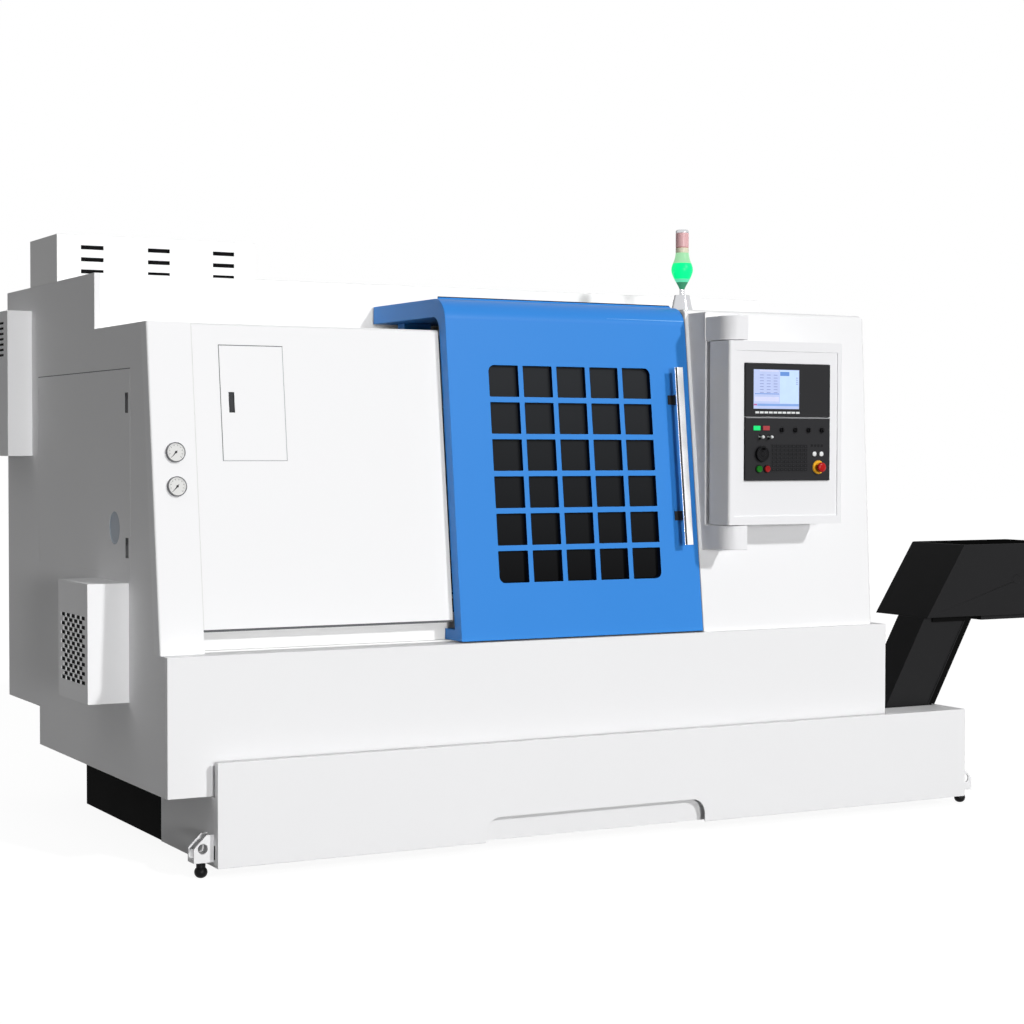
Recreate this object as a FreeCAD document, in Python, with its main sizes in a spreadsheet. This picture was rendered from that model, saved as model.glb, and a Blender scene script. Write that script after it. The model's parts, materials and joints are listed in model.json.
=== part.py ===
"""Enclosed slant-bed CNC turning lathe, in millimetres.

Machine frame while modelling: X from the left side plane to the right, Y from the front plane of the
mid skirt to the back, Z up from the floor. Every sub-part is then moved so that the origin of the
whole lies at the bottom centre of its box.
"""
import FreeCAD, Part
import Sketcher
import math
import os
import re

Vector = FreeCAD.Vector
doc = FreeCAD.newDocument("turning_lathe")
sheet = doc.addObject("Spreadsheet::Sheet", "Sizes")

SIZES = {
    # enclosure outline
    "body_width": 3117, "body_bottom": 284, "skirt_top": 776, "front_top": 1947, "roof_top": 2159,
    "roof_front": 809, "roof_right": 3044, "rear_seam": 1567, "body_rear": 2031, "rear_bottom": 439,
    "panel": 20, "seam": 3, "lean": 6.76, "ledge_depth": 160, "seat_gap": 0.3,
    # leaning front planes, measured back from the skirt at the height of its top
    "door_foot": 14.5, "panel_foot": 74,
    # corner column, left front panel, door sill
    "column_width": 165, "column_return": 60, "column_round": 8, "panel_bottom": 859,
    "panel_round": 16, "sill_top": 880, "sill_bottom": 420, "track_front": 118, "track_width": 20,
    "track_height": 5.7, "track_foot": 3,
    # hatch in the left front panel
    "hatch_left": 264, "hatch_right": 512, "hatch_bottom": 1453, "hatch_top": 1870,
    "hinge_in": 6, "hinge_edge": 8, "pin_radius": 3, "pin_length": 12, "pin_play": 0.05,
    "hatch_latch_in": 32, "hatch_latch_width": 22, "hatch_latch_height": 74, "hatch_latch_up": 172,
    "latch_recess": 6,
    # service door in the left side wall
    "service_front": 391, "service_bottom": 1036, "service_top": 1788, "service_latch_in": 24,
    "service_latch_width": 35, "service_latch_height": 74, "service_latch_low": 64,
    "service_latch_high": 590, "port_from_front": 186, "port_up": 169, "port_radius": 61,
    "port_depth": 8,
    # coolant tank and its skirt
    "tank_left": 161, "tank_right": 3494, "tank_front": -20, "tank_back": 534, "tank_bottom": 39,
    "tank_top": 407, "tank_wall": 6, "tank_skirt_depth": 40, "tank_skirt_lip": 27,
    "tank_step_bottom": 281, "tank_mouth_in": 5, "incline_edge": 40, "cut_left": 1216,
    "cut_right": 2184, "cut_top": 130, "cut_round": 60,
    # clevis lugs and ball feet of the tank
    "lug_reach": 73, "lug_bottom": 56, "lug_height": 97, "lug_chamfer": 47, "lug_cheek": 8,
    "lug_gap": 45, "lug_hole": 18, "lug_hole_out": 39.5, "lug_hole_up": 49, "lug_y": 12.5,
    "lug_floor": 12, "foot_out": 36, "ball_radius": 23.5, "ball_height": 44, "ball_neck": 16.5,
    "pad_in": 150, "pad_y": 470, "pad_radius": 30, "pad_stem": 18, "pad_edge": 14,
    # bed casting, its ways and levelling feet
    "bed_left": 161, "bed_end": 167, "bed_back": 1453, "bed_bottom": 43, "motor_base": 400,
    "bed_upper_left": 600, "bed_crest": 1190, "slant": 45, "spindle_y": 620, "spindle_z": 1100,
    "axis_height": 330, "bed_wall": 60, "core_count": 8, "core_rib": 40, "foot_radius": 70,
    "foot_pad": 16, "foot_stem": 35, "foot_boss_radius": 60, "foot_columns": 4,
    "foot_inset_x": 260, "foot_inset_y": 170,
    "rail_left": 1180, "rail_end": 237, "rail_offset": 230, "rail_width": 45, "rail_height": 40,
    "screw_radius": 20, "screw_height": 45, "bearing_length": 50, "bearing_half": 40,
    "bearing_height": 85,
    # headstock, spindle, chuck
    "head_left": 620, "head_length": 500, "head_half": 175, "head_foot_half": 260, "head_foot": 60,
    "head_shoulder": 120, "head_rise": 170, "head_round": 110, "shaft_radius": 55, "bore_radius": 26,
    "flange_radius": 100, "flange_length": 50, "pulley_length": 90, "pulley_radius": 110,
    "pulley_groove": 9, "groove_count": 5, "pulley_gap": 80, "cylinder_radius": 90,
    "cylinder_length": 120, "chuck_radius": 125, "chuck_length": 100, "chuck_bore": 38,
    "jaw_slot": 32, "jaw_slot_depth": 22, "jaw_side_gap": 0.3, "jaw_inner": 48, "jaw_outer": 118,
    "jaw_height": 50, "jaw_step": 22, "jaw_count": 3,
    # spindle motor and belt
    "motor_y": 900, "motor_z": 560, "motor_length": 250, "motor_half": 120, "motor_chamfer": 50,
    "motor_foot_half": 150, "motor_foot": 24, "motor_shaft": 24, "motor_pulley_radius": 80,
    "belt_thickness": 6, "belt_width": 70,
    # carriage, cross slide and turret
    "saddle_left": 1600, "saddle_length": 450, "saddle_low": 300, "saddle_high": 660,
    "saddle_bottom": 12, "saddle_top": 130, "channel_half": 48, "channel_top": 92,
    "cross_rail_in": 60, "cross_rail_width": 40, "cross_rail_height": 30, "cross_left": 20,
    "cross_length": 400, "cross_base": 70, "turret_out": 430, "turret_half": 120, "turret_left": 1580,
    "turret_length": 380, "turret_round": 40, "disc_length": 90, "disc_flat": 200, "disc_stub": 60,
    "stub_length": 80, "station_count": 12, "block_width": 50, "block_rise": 45, "block_length": 70,
    "shank_side": 20, "shank_rise": 20,
    # tailstock
    "tail_left": 2300, "tail_length": 320, "tail_foot_half": 300, "tail_foot_top": 110,
    "tail_half": 95, "tail_round": 60, "quill_radius": 50, "quill_out": 70, "quill_end_in": 20,
    "centre_shank": 15, "centre_shank_length": 55, "centre_body": 32, "centre_body_length": 50,
    "centre_tip": 50, "turn_play": 0.1,
    # chamber liner
    "liner_left": 1140, "liner_end": 217, "liner_sheet": 8, "liner_front": 230, "liner_top": 1900,
    "liner_back": 1490, "liner_hole": 130, "liner_floor": 560,
    # sliding door
    "door_left": 1150, "door_right": 2222, "door_bottom": 782, "door_top": 2067, "door_depth": 56,
    "door_round": 90, "door_inner_round": 55, "arm_back": 800, "arm_height": 69, "lip_back": 156,
    "lip_height": 41, "window_left": 1323, "window_bottom": 994, "pane_width": 127,
    "pane_height": 119.5, "pane_bar": 21, "pane_columns": 5, "pane_rows": 6, "window_round": 25,
    "bar_depth": 20, "glass_thickness": 8, "glass_edge": 1, "guide_front": 700, "guide_width": 20,
    "guide_height": 25, "guide_left": 200, "shoe_wall": 20, "shoe_length": 120, "shoe_in": 80,
    "handle_left": 2130, "handle_width": 33, "handle_bottom": 1117, "handle_top": 1816,
    "handle_standoff": 57, "handle_thickness": 11, "bracket_height": 41, "bracket_width": 24,
    "bracket_low": 1236, "bracket_high": 1693,
    # right cover
    "cover_left": 2225, "cover_right_low": 3061, "cover_right_high": 3124, "cover_top": 2059,
    "cover_round": 22,
    # pendant bracket
    "post_left": 2240, "post_width": 162, "post_front": 37, "post_bottom": 1100, "post_top": 2067,
    "arm_width": 91, "pendant_face": -128, "arm_round": 70, "lower_arm_bottom": 1105,
    "lower_arm_top": 1200, "upper_arm_bottom": 1926, "upper_arm_top": 2020, "pivot_in": 46,
    "pivot_back": 73, "pivot_radius": 10, "pivot_length": 60,
    # pendant
    "pendant_right": 2790, "pendant_depth": 144, "pendant_gap": 3, "pendant_round": 12,
    "frame_left": 2268, "frame_right": 2765, "frame_bottom": 1236, "frame_top": 1885,
    "frame_recess": 4, "unit_left": 2316, "unit_right": 2722, "unit_bottom": 1376,
    "unit_top": 1836, "unit_split": 1626, "unit_thickness": 24, "unit_recess": 14,
    "unit_seam": 1.5, "screen_left": 2353, "screen_right": 2573, "screen_bottom": 1657,
    "screen_top": 1813, "screen_recess": 2,
    # controls on the operator panel
    "stem_radius": 5, "stem_length": 14, "control_reach": 39, "estop_x": 2666, "estop_z": 1428,
    "estop_ring": 26.5, "estop_ring_height": 3, "estop_head": 19, "estop_travel": 4,
    "estop_height": 24, "button_radius": 13, "button_height": 7, "button_travel": 3,
    "start_x": 2378, "hold_x": 2416, "button_z": 1422, "button_ring": 2, "wheel_x": 2391,
    "wheel_z": 1481, "wheel_radius": 35, "wheel_thickness": 14, "crank_offset": 24,
    "crank_radius": 5, "crank_length": 24, "selector_first": 2487, "selector_pitch": 65,
    "selector_count": 4, "selector_z": 1575, "selector_radius": 10, "selector_height": 15,
    "selector_bar": 5, "toggle_first": 2382, "toggle_pitch": 42, "toggle_z": 1547,
    "toggle_slot_width": 9, "toggle_slot_height": 20, "toggle_depth": 10, "toggle_pin": 8.6, "toggle_ball": 4,
    "toggle_rod": 2, "toggle_tip": 3.5, "toggle_out": 18, "toggle_tip_length": 9,
    "lamp_radius": 9, "lamp_height": 3, "lamp_first": 2646, "lamp_pitch": 34, "lamp_z": 1481,
    "key_height": 1.5, "key_left": 2437, "key_bottom": 1409, "key_width": 179, "key_rise": 111,
    # roof cabinet, side boxes, gauges, stack light
    "vent_width": 838, "vent_front": 1296, "vent_rear": 1678, "vent_top": 2348, "vent_wall": 4,
    "slot_left": 98, "slot_width": 93, "slot_pitch": 278, "slot_columns": 3, "slot_top": 2307,
    "slot_height": 16, "slot_drop": 48, "slot_rows": 3,
    "pump_reach": 154, "pump_front": 413, "pump_back": 775, "pump_bottom": 577, "pump_top": 1011,
    "pump_wall": 4, "hole_width": 50, "hole_height": 13.5, "hole_pitch": 61, "hole_rise": 16.7,
    "hole_columns": 5, "hole_rows": 8, "hole_front": 446, "hole_bottom": 644,
    "supply_reach": 101, "supply_front": 1659, "supply_back": 2000, "supply_bottom": 1465,
    "supply_top": 2062, "louvre_front": 1720, "louvre_width": 220, "louvre_height": 10,
    "louvre_pitch": 22, "louvre_rows": 7, "louvre_bottom": 1876,
    "gauge_x": 86, "gauge_z": 1484, "gauge_drop": 120, "gauge_radius": 36, "gauge_rim": 3,
    "gauge_height": 14, "gauge_recess": 3, "gauge_hub": 8,
    "light_x": 2300, "light_y": 300, "light_flange": 46, "light_flange_top": 31,
    "light_cone_top": 67, "light_pole": 8, "light_pole_top": 91, "light_lens": 27,
    "light_lens_foot": 136, "light_module": 62, "light_modules": 3, "light_cap": 22,
    "light_cap_height": 10, "light_groove": 1.5,
    # chip conveyor
    "trough_left": 700, "trough_top": 270, "flange_bottom": 130, "conveyor_front": 157,
    "conveyor_back": 335, "incline_x": 3246, "incline_width": 224, "incline_angle": 60.9,
    "conveyor_wall": 6, "conveyor_flange": 8, "conveyor_lip": 5, "trough_mouth_right": 3060,
    "hood_front": 140, "hood_back": 492, "hood_bottom": 777, "hood_top": 1088, "hood_left": 3452,
    "hood_shift": 203, "hood_right": 4200, "chute_left": 3767, "chute_right": 4150,
    "chute_drop": 20, "chute_inset": 18, "drive_x": 3950, "drive_z": 930, "drive_shaft": 20,
    "drive_disc": 85, "drive_disc_width": 16, "gearbox_radius": 80, "gearbox_length": 90,
    "drive_motor_radius": 62, "drive_motor_length": 120,
}

for row, (alias, number) in enumerate(SIZES.items(), start=1):
    sheet.set(f"A{row}", alias)
    sheet.set(f"B{row}", str(number))
    sheet.setAlias(f"B{row}", alias)
doc.recompute()

CENTRE_X = "(hood_right - pump_reach) / 2"
CENTRE_Y = "(body_rear + pendant_face - control_reach) / 2"
TILT = "tan(lean * 1 deg)"
INCLINE = "tan(incline_angle * 1 deg)"
# foot of the perpendicular from the spindle axis on the slanted way plane
WAY_Y = "spindle_y + axis_height * sin(slant * 1 deg)"
WAY_Z = "spindle_z - axis_height * cos(slant * 1 deg)"
ROLE = {"XY": "XY_Plane", "XZ": "XZ_Plane", "YZ": "YZ_Plane"}


def linked(text):
    """The expression with every size written as a cell of the sheet."""
    return re.sub(r"[a-z][a-z0-9_]*",
                  lambda word: "Sizes." + word.group() if word.group() in SIZES else word.group(),
                  str(text))


def value(text):
    return float(sheet.evalExpression(str(text)))


def door_plane(height):
    return f"(door_foot + ({height} - skirt_top) * {TILT})"


def panel_plane(height):
    return f"(panel_foot + ({height} - skirt_top) * {TILT})"


def way_line(depth):
    """Height of the slanted way plane at a depth from the front."""
    return f"({WAY_Z} + ({depth} - ({WAY_Y})) * tan(slant * 1 deg))"


TROUGH_FLOOR = "(tank_bottom + tank_wall + seat_gap)"
BED_RIGHT, LINER_RIGHT = "(body_width - bed_end)", "(body_width - liner_end)"


def incline_line(height):
    """X of the conveyor's upper left edge at a height."""
    return f"(incline_x + ({height} - tank_top) / {INCLINE})"


def slope(height):
    """Distance up a leaning front from the skirt's top."""
    return f"(({height} - skirt_top) / cos(lean * 1 deg))"


def place(thing, x="0", y="0", z="0", tilt=None):
    """Puts a sub-part in the machine frame, turned about X by tilt degrees."""
    if tilt is not None:
        turned = FreeCAD.Rotation(Vector(1, 0, 0), value(tilt))
        thing.Placement = FreeCAD.Placement(Vector(), turned)
    thing.setExpression("Placement.Base.x", linked(f"{x} - {CENTRE_X}"))
    thing.setExpression("Placement.Base.y", linked(f"{y} - {CENTRE_Y}"))
    thing.setExpression("Placement.Base.z", linked(z))
    if tilt is not None:
        thing.setExpression(".Placement.Rotation.Angle", linked(f"({tilt}) * 1 deg"))
    return thing


def new_body(label, *where, tilt=None):
    body = doc.addObject("PartDesign::Body", label)
    body.Label = label
    return place(body, *where, tilt=tilt)


def origin_part(body, role):
    return next(part for part in body.Origin.OriginFeatures if part.Role == role)


def new_sketch(body, plane, start="0"):
    """A sketch on an origin plane of its body, moved along the world axis square to it."""
    drawing = body.newObject("Sketcher::SketchObject", f"{body.Label}_outline")
    drawing.AttachmentSupport = [(origin_part(body, ROLE[plane]), "")]
    drawing.MapMode = "FlatFace"
    sign = "-" if plane == "XZ" else ""
    drawing.setExpression(".AttachmentOffset.Base.z", linked(f"{sign}({start})"))
    return drawing


def pin_point(drawing, index, which, spot):
    """Holds one point of the sketch at two expressions."""
    for kind, text in (("DistanceX", spot[0]), ("DistanceY", spot[1])):
        number = drawing.addConstraint(
            Sketcher.Constraint(kind, -1, 1, index, which, value(text)))
        drawing.setExpression(f"Constraints[{number}]", linked(text))


def draw_outline(drawing, corners):
    """A closed outline of straight sides with every corner pinned."""
    spots = [Vector(value(corner[0]), value(corner[1]), 0) for corner in corners]
    count = len(corners)
    lines = [drawing.addGeometry(Part.LineSegment(spots[i], spots[(i + 1) % count]))
             for i in range(count)]
    for i in range(count):
        drawing.addConstraint(Sketcher.Constraint("Coincident", lines[i - 1], 2, lines[i], 1))
        pin_point(drawing, lines[i], 1, corners[i])


def draw_circle(drawing, u, v, radius):
    spot = Vector(value(u), value(v), 0)
    ring = drawing.addGeometry(Part.Circle(spot, Vector(0, 0, 1), value(radius)))
    pin_point(drawing, ring, 3, (u, v))
    size = drawing.addConstraint(Sketcher.Constraint("Radius", ring, value(radius)))
    drawing.setExpression(f"Constraints[{size}]", linked(radius))


def rectangle(u_low, u_high, v_low, v_high, radius=None):
    spots = [(u_low, v_low), (u_high, v_low), (u_high, v_high), (u_low, v_high)]
    return [(*spot, radius) for spot in spots] if radius else spots


def draw_loops(drawing, loops):
    """Each loop is an outline or a circle given as ("circle", u, v, radius)."""
    for loop in loops:
        if loop[0] == "circle":
            draw_circle(drawing, *loop[1:])
        else:
            draw_outline(drawing, loop)


AXES = {"XY": (0, 1, 2), "XZ": (0, 2, 1), "YZ": (1, 2, 0)}


def round_edges(body, radius, chosen):
    """Rounds the edges of the body's present shape that chosen(edge) picks."""
    tip = body.Tip
    names = [f"Edge{i}" for i, edge in enumerate(tip.Shape.Edges, start=1) if chosen(edge)]
    if not names:
        raise RuntimeError(f"{body.Label}: no edge to round")
    fillet = body.newObject("PartDesign::Fillet", f"{body.Label}_round")
    fillet.Base = (tip, names)
    fillet.setExpression("Radius", linked(radius))
    doc.recompute()


def round_corners(body, plane, start, end, loops):
    """Rounds the corners that carry a radius, along the direction square to the plane."""
    first, second, along = AXES[plane]
    low, high = value(start) - 0.01, value(end) + 0.01
    corners = [c for loop in loops if loop[0] != "circle" for c in loop if len(c) > 2]
    for radius in sorted({corner[2] for corner in corners}):
        spots = [(value(c[0]), value(c[1])) for c in corners if c[2] == radius]

        def at_corner(edge):
            if len(edge.Vertexes) != 2 or edge.Curve.TypeId != "Part::GeomLine":
                return False
            if not low < edge.CenterOfMass[along] < high:
                return False
            return any(all(math.hypot(end_point.Point[first] - u, end_point.Point[second] - v) < 0.01
                           for end_point in edge.Vertexes) for u, v in spots)

        round_edges(body, radius, at_corner)


def add(body, plane, start, end, *loops):
    """Pads loops from start to end along the world axis square to the plane."""
    drawing = new_sketch(body, plane, start)
    draw_loops(drawing, loops)
    pad = body.newObject("PartDesign::Pad", f"{body.Label}_pad")
    pad.Profile = drawing
    pad.Reversed = plane == "XZ"
    pad.setExpression("Length", linked(f"({end}) - ({start})"))
    doc.recompute()
    round_corners(body, plane, start, end, loops)
    return pad


def cut(body, plane, start, end, *loops):
    """Pockets loops from start to end, and makes sure that material went."""
    before = body.Shape.Volume
    drawing = new_sketch(body, plane, start)
    draw_loops(drawing, loops)
    pocket = body.newObject("PartDesign::Pocket", f"{body.Label}_cut")
    pocket.Profile = drawing
    pocket.Reversed = plane != "XZ"
    pocket.setExpression("Length", linked(f"({end}) - ({start})"))
    doc.recompute()
    if not body.Shape.Volume < before:
        raise RuntimeError(f"{body.Label}: a pocket cuts nothing")
    round_corners(body, plane, start, end, loops)
    return pocket


def turn(body, plane, axis, loop):
    """Revolves a loop about the sketch's own H_Axis or V_Axis, and rounds its marked corners."""
    drawing = new_sketch(body, plane)
    draw_loops(drawing, [loop])
    feature = body.newObject("PartDesign::Revolution", f"{body.Label}_revolution")
    feature.Profile = drawing
    feature.ReferenceAxis = (drawing, [axis])
    feature.Angle = 360
    doc.recompute()
    along = AXES[plane][0 if axis == "H_Axis" else 1]
    for corner in [c for c in loop if len(c) > 2]:
        level, reach = [value(text) for text in corner[:2]][:: 1 if axis == "H_Axis" else -1]
        round_edges(body, corner[2], lambda edge: edge.Curve.TypeId == "Part::GeomCircle"
                    and abs(edge.Curve.Center[along] - level) < 0.01
                    and abs(edge.Curve.Radius - reach) < 0.01)
    return feature


def repeat_line(body, feature, axis, count, pitch):
    """A row of copies of a feature along an axis of its body."""
    row = body.newObject("PartDesign::LinearPattern", f"{body.Label}_row")
    row.Originals = [feature]
    row.Direction = (origin_part(body, axis), [""])
    row.setExpression("Occurrences", linked(count))
    row.setExpression("Length", linked(f"({pitch}) * (({count}) - 1)"))
    body.Tip = row
    doc.recompute()
    return row


def repeat_grid(body, feature, first, second):
    """Copies of a feature on a grid. Each direction is (axis, count, pitch, reversed)."""
    grid = body.newObject("PartDesign::MultiTransform", f"{body.Label}_grid")
    grid.Originals = [feature]
    rows = []
    for axis, count, pitch, backwards in (first, second):
        row = body.newObject("PartDesign::LinearPattern", f"{body.Label}_row")
        row.Direction = (origin_part(body, axis), [""])
        row.Reversed = backwards
        row.setExpression("Occurrences", linked(count))
        row.setExpression("Length", linked(f"({pitch}) * (({count}) - 1)"))
        rows.append(row)
    grid.Transformations = rows
    body.Tip = grid
    doc.recompute()
    return grid


def repeat_round(body, feature, axis, count):
    ring = body.newObject("PartDesign::PolarPattern", f"{body.Label}_ring")
    ring.Originals = [feature]
    ring.Axis = (origin_part(body, axis), [""])
    ring.Angle = 360
    ring.setExpression("Occurrences", linked(count))
    body.Tip = ring
    doc.recompute()
    return ring


# ---------------------------------------------------------------- enclosure


def left_side_wall():
    """Side wall with a notch for the service door, open to the seam with the rear shell."""
    body = new_body("left_side_wall")
    add(body, "YZ", "0", "panel", [
        ("panel", "body_bottom"), ("rear_seam", "body_bottom"), ("rear_seam", "service_bottom"),
        ("service_front", "service_bottom"), ("service_front", "service_top"),
        ("rear_seam", "service_top"), ("rear_seam", "roof_top"), ("roof_front", "roof_top"),
        ("roof_front", "front_top"), (f"{panel_plane('front_top')} + column_return", "front_top"),
        (f"{panel_plane('skirt_top')} + column_return", "skirt_top"), ("panel", "skirt_top")])
    for low, high in (("service_bottom - pin_length", "service_bottom"),
                      ("service_top", "service_top + pin_length")):
        cut(body, "XY", low, high,
            ("circle", "hinge_in", "rear_seam - seam - hinge_edge", "pin_radius + pin_play"))


def service_door():
    """Flush door on two pins, with a round port cover and two latch recesses."""
    body = new_body("service_door")
    low, high = "(service_bottom + seam)", "(service_top - seam)"
    front, back = "(service_front + seam)", "(rear_seam - seam)"
    add(body, "YZ", "0", "panel", rectangle(front, back, low, high))
    add(body, "XY", "service_bottom - pin_length + seam", "service_top + pin_length - seam",
        ("circle", "hinge_in", f"{back} - hinge_edge", "pin_radius"))
    cut(body, "YZ", "0", "port_depth",
        ("circle", "service_front + port_from_front", "service_bottom + port_up", "port_radius"))
    for rise in ("service_latch_low", "service_latch_high"):
        side = "(service_front + service_latch_in)"
        cut(body, "YZ", "0", "latch_recess",
            rectangle(side, f"{side} + service_latch_width", f"service_bottom + {rise}",
                      f"service_bottom + {rise} + service_latch_height"))


def mid_skirt():
    """Folded skirt with a flange under the front panels, notched to stand over the tank."""
    body = new_body("mid_skirt")
    over = "(tank_top + seat_gap)"
    add(body, "XZ", "0", "panel", rectangle("0", "body_width", "body_bottom", "skirt_top"))
    add(body, "XY", "skirt_top - panel", "skirt_top",
        rectangle("panel", "body_width", "panel", "ledge_depth"))
    add(body, "YZ", "body_width - panel", "body_width", [
        ("panel", over), ("tank_back + seam", over), ("tank_back + seam", "body_bottom"),
        ("roof_front", "body_bottom"), ("roof_front", "skirt_top"), ("panel", "skirt_top")])
    add(body, "XY", "skirt_top - panel", "skirt_top",
        rectangle("cover_right_low - panel", "body_width - panel", "ledge_depth", "roof_front"))


def corner_column():
    """Leaning folded column, its front edge bent back to the side wall."""
    body = new_body("corner_column")
    drawing = new_sketch(body, "XY", "skirt_top")
    foot, side, right = "panel_foot", "(panel_foot + column_return)", "(column_width - seam / 2)"
    draw_outline(drawing, [
        ("0", side), ("0", foot), (right, foot), (right, f"{foot} + panel"),
        ("panel", f"{foot} + panel"), ("panel", side)])
    pad = body.newObject("PartDesign::Pad", "corner_column_pad")
    pad.Profile = drawing
    pad.UseCustomVector = True
    pad.Direction = Vector(0, value(TILT), 1)
    pad.setExpression("Direction.y", linked(TILT))
    pad.AlongSketchNormal = True
    pad.setExpression("Length", linked("front_top - skirt_top"))
    doc.recompute()
    middle_y = value(panel_plane("(front_top + skirt_top) / 2"))
    round_edges(body, "column_round", lambda edge: abs(edge.CenterOfMass.x) < 0.1
                and abs(edge.CenterOfMass.y - middle_y) < 0.1)


def left_front_panel():
    """Leaning panel in its own tilted frame, with the hatch opening and its pin holes."""
    body = new_body("left_front_panel", "0", "panel_foot", "skirt_top", tilt="-lean")
    left, right = "(column_width + seam / 2)", "(door_left - seam)"
    add(body, "YZ", left, right, [
        ("0", slope("panel_bottom")), ("panel", slope("panel_bottom")),
        ("panel", slope("front_top")), ("0", slope("front_top"), "panel_round")])
    low, high = slope("hatch_bottom"), slope("hatch_top")
    cut(body, "XZ", "0", "panel", rectangle("hatch_left", "hatch_right", low, high))
    for start, end in ((f"{low} - pin_length", low), (high, f"{high} + pin_length")):
        cut(body, "XY", start, end,
            ("circle", "hatch_right - seam - hinge_edge", "hinge_in", "pin_radius + pin_play"))


def hatch_door():
    body = new_body("hatch_door", "0", "panel_foot", "skirt_top", tilt="-lean")
    low, high = f"({slope('hatch_bottom')} + seam)", f"({slope('hatch_top')} - seam)"
    add(body, "XZ", "0", "panel", rectangle("hatch_left + seam", "hatch_right - seam", low, high))
    add(body, "XY", f"{low} - pin_length", f"{high} + pin_length",
        ("circle", "hatch_right - seam - hinge_edge", "hinge_in", "pin_radius"))
    side, foot = "(hatch_left + hatch_latch_in)", f"({low} + hatch_latch_up)"
    cut(body, "XZ", "0", "latch_recess",
        rectangle(side, f"{side} + hatch_latch_width", foot, f"{foot} + hatch_latch_height"))


def door_sill():
    """Recessed sill wall behind the gap, with the door's lower track on its foot."""
    body = new_body("door_sill")
    back = "(ledge_depth + panel)"
    track = "(skirt_top + track_height)"
    add(body, "YZ", "column_width + seam", "cover_left - seam", [
        ("track_front", "skirt_top"), ("track_front", track),
        ("track_front + track_width", track),
        ("track_front + track_width", "skirt_top + track_foot"),
        ("ledge_depth", "skirt_top + track_foot"), ("ledge_depth", "sill_top"),
        (back, "sill_top"), (back, "sill_bottom"), ("ledge_depth", "sill_bottom"),
        ("ledge_depth", "skirt_top")])


def front_roof():
    body = new_body("front_roof")
    under, thick = "(front_top - panel)", "(panel / cos(lean * 1 deg))"
    add(body, "YZ", "panel", "cover_left", [
        (f"{panel_plane('front_top')} + {thick}", "front_top"), ("roof_front", "front_top"),
        ("roof_front", under), (f"{panel_plane(under)} + {thick}", under)])


def door_top_rail():
    body = new_body("door_top_rail")
    add(body, "YZ", "guide_left", "door_right", rectangle(
        "guide_front", "guide_front + guide_width", "front_top", "front_top + guide_height"))


def roof_box():
    """Raised rear roof, folded at its front and open below."""
    body = new_body("roof_box")
    add(body, "YZ", "panel", "roof_right", [
        ("roof_front", "front_top - panel"), ("roof_front", "roof_top"),
        ("body_rear", "roof_top"), ("body_rear", "roof_top - panel"),
        ("roof_front + panel", "roof_top - panel"), ("roof_front + panel", "front_top - panel")])


def rear_shell():
    """Rear cabinet wall, folded round to both sides."""
    body = new_body("rear_shell")
    under = "(roof_top - panel)"
    add(body, "YZ", "0", "panel",
        [("rear_seam", "rear_bottom"), ("body_rear", "rear_bottom"), ("body_rear", "roof_top"),
         ("rear_seam", "roof_top")])
    add(body, "XZ", "body_rear - panel", "body_rear",
        rectangle("panel", "roof_right", "rear_bottom", under))
    add(body, "YZ", "roof_right - panel", "roof_right",
        rectangle("roof_front + panel", "body_rear - panel", "rear_bottom", under))


def right_cover():
    """Leaning cover whose right side widens upwards, open to the left, below and behind."""
    body = new_body("right_cover")
    foot, top, under = door_plane("skirt_top"), door_plane("cover_top"), "(cover_top - panel)"
    add(body, "YZ", "cover_left", "cover_right_high", [
        (foot, "skirt_top"), (top, "cover_top"), ("roof_front", "cover_top"),
        ("roof_front", under), (f"{door_plane(under)} + panel", under),
        (f"{foot} + panel", "skirt_top")])
    cut(body, "XZ", foot, "roof_front", [
        ("cover_right_low", "skirt_top"), ("cover_right_high + panel", "skirt_top"),
        ("cover_right_high + panel", "cover_top"), ("cover_right_high", "cover_top")])
    add(body, "XZ", foot, "roof_front", [
        ("cover_right_low - panel", "skirt_top"), ("cover_right_low", "skirt_top"),
        ("cover_right_high", "cover_top"), ("cover_right_high - panel", "cover_top")])
    cut(body, "YZ", "cover_left", "cover_right_high", [
        (foot, "skirt_top"), (top, "cover_top"), (foot, "cover_top")])
    corner = Vector(value("cover_right_high"), value(top), value("cover_top"))
    round_edges(body, "cover_round", lambda edge: any(
        end_point.Point.distanceToPoint(corner) < 0.01 for end_point in edge.Vertexes))


def chamber_liner():
    """Splash liner of the work chamber: two end plates, a back and a ceiling."""
    body = new_body("chamber_liner")
    crest = way_line("bed_crest")
    ends = [("liner_front", "liner_floor"), ("liner_front", "liner_top"),
            ("liner_back", "liner_top"), ("liner_back", crest), ("bed_crest", crest),
            (f"liner_floor + bed_crest - {crest}", "liner_floor")]
    for left in ("liner_left", f"({LINER_RIGHT} - liner_sheet)"):
        add(body, "YZ", left, f"{left} + liner_sheet", ends)
    add(body, "YZ", "liner_left", LINER_RIGHT, [
        ("liner_front", "liner_top - liner_sheet"), ("liner_front", "liner_top"),
        ("liner_back", "liner_top"), ("liner_back", crest),
        ("liner_back - liner_sheet", crest), ("liner_back - liner_sheet", "liner_top - liner_sheet")])
    cut(body, "YZ", "liner_left", "liner_left + liner_sheet",
        ("circle", "spindle_y", "spindle_z", "liner_hole"))


# ---------------------------------------------------------------- tank and base


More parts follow.
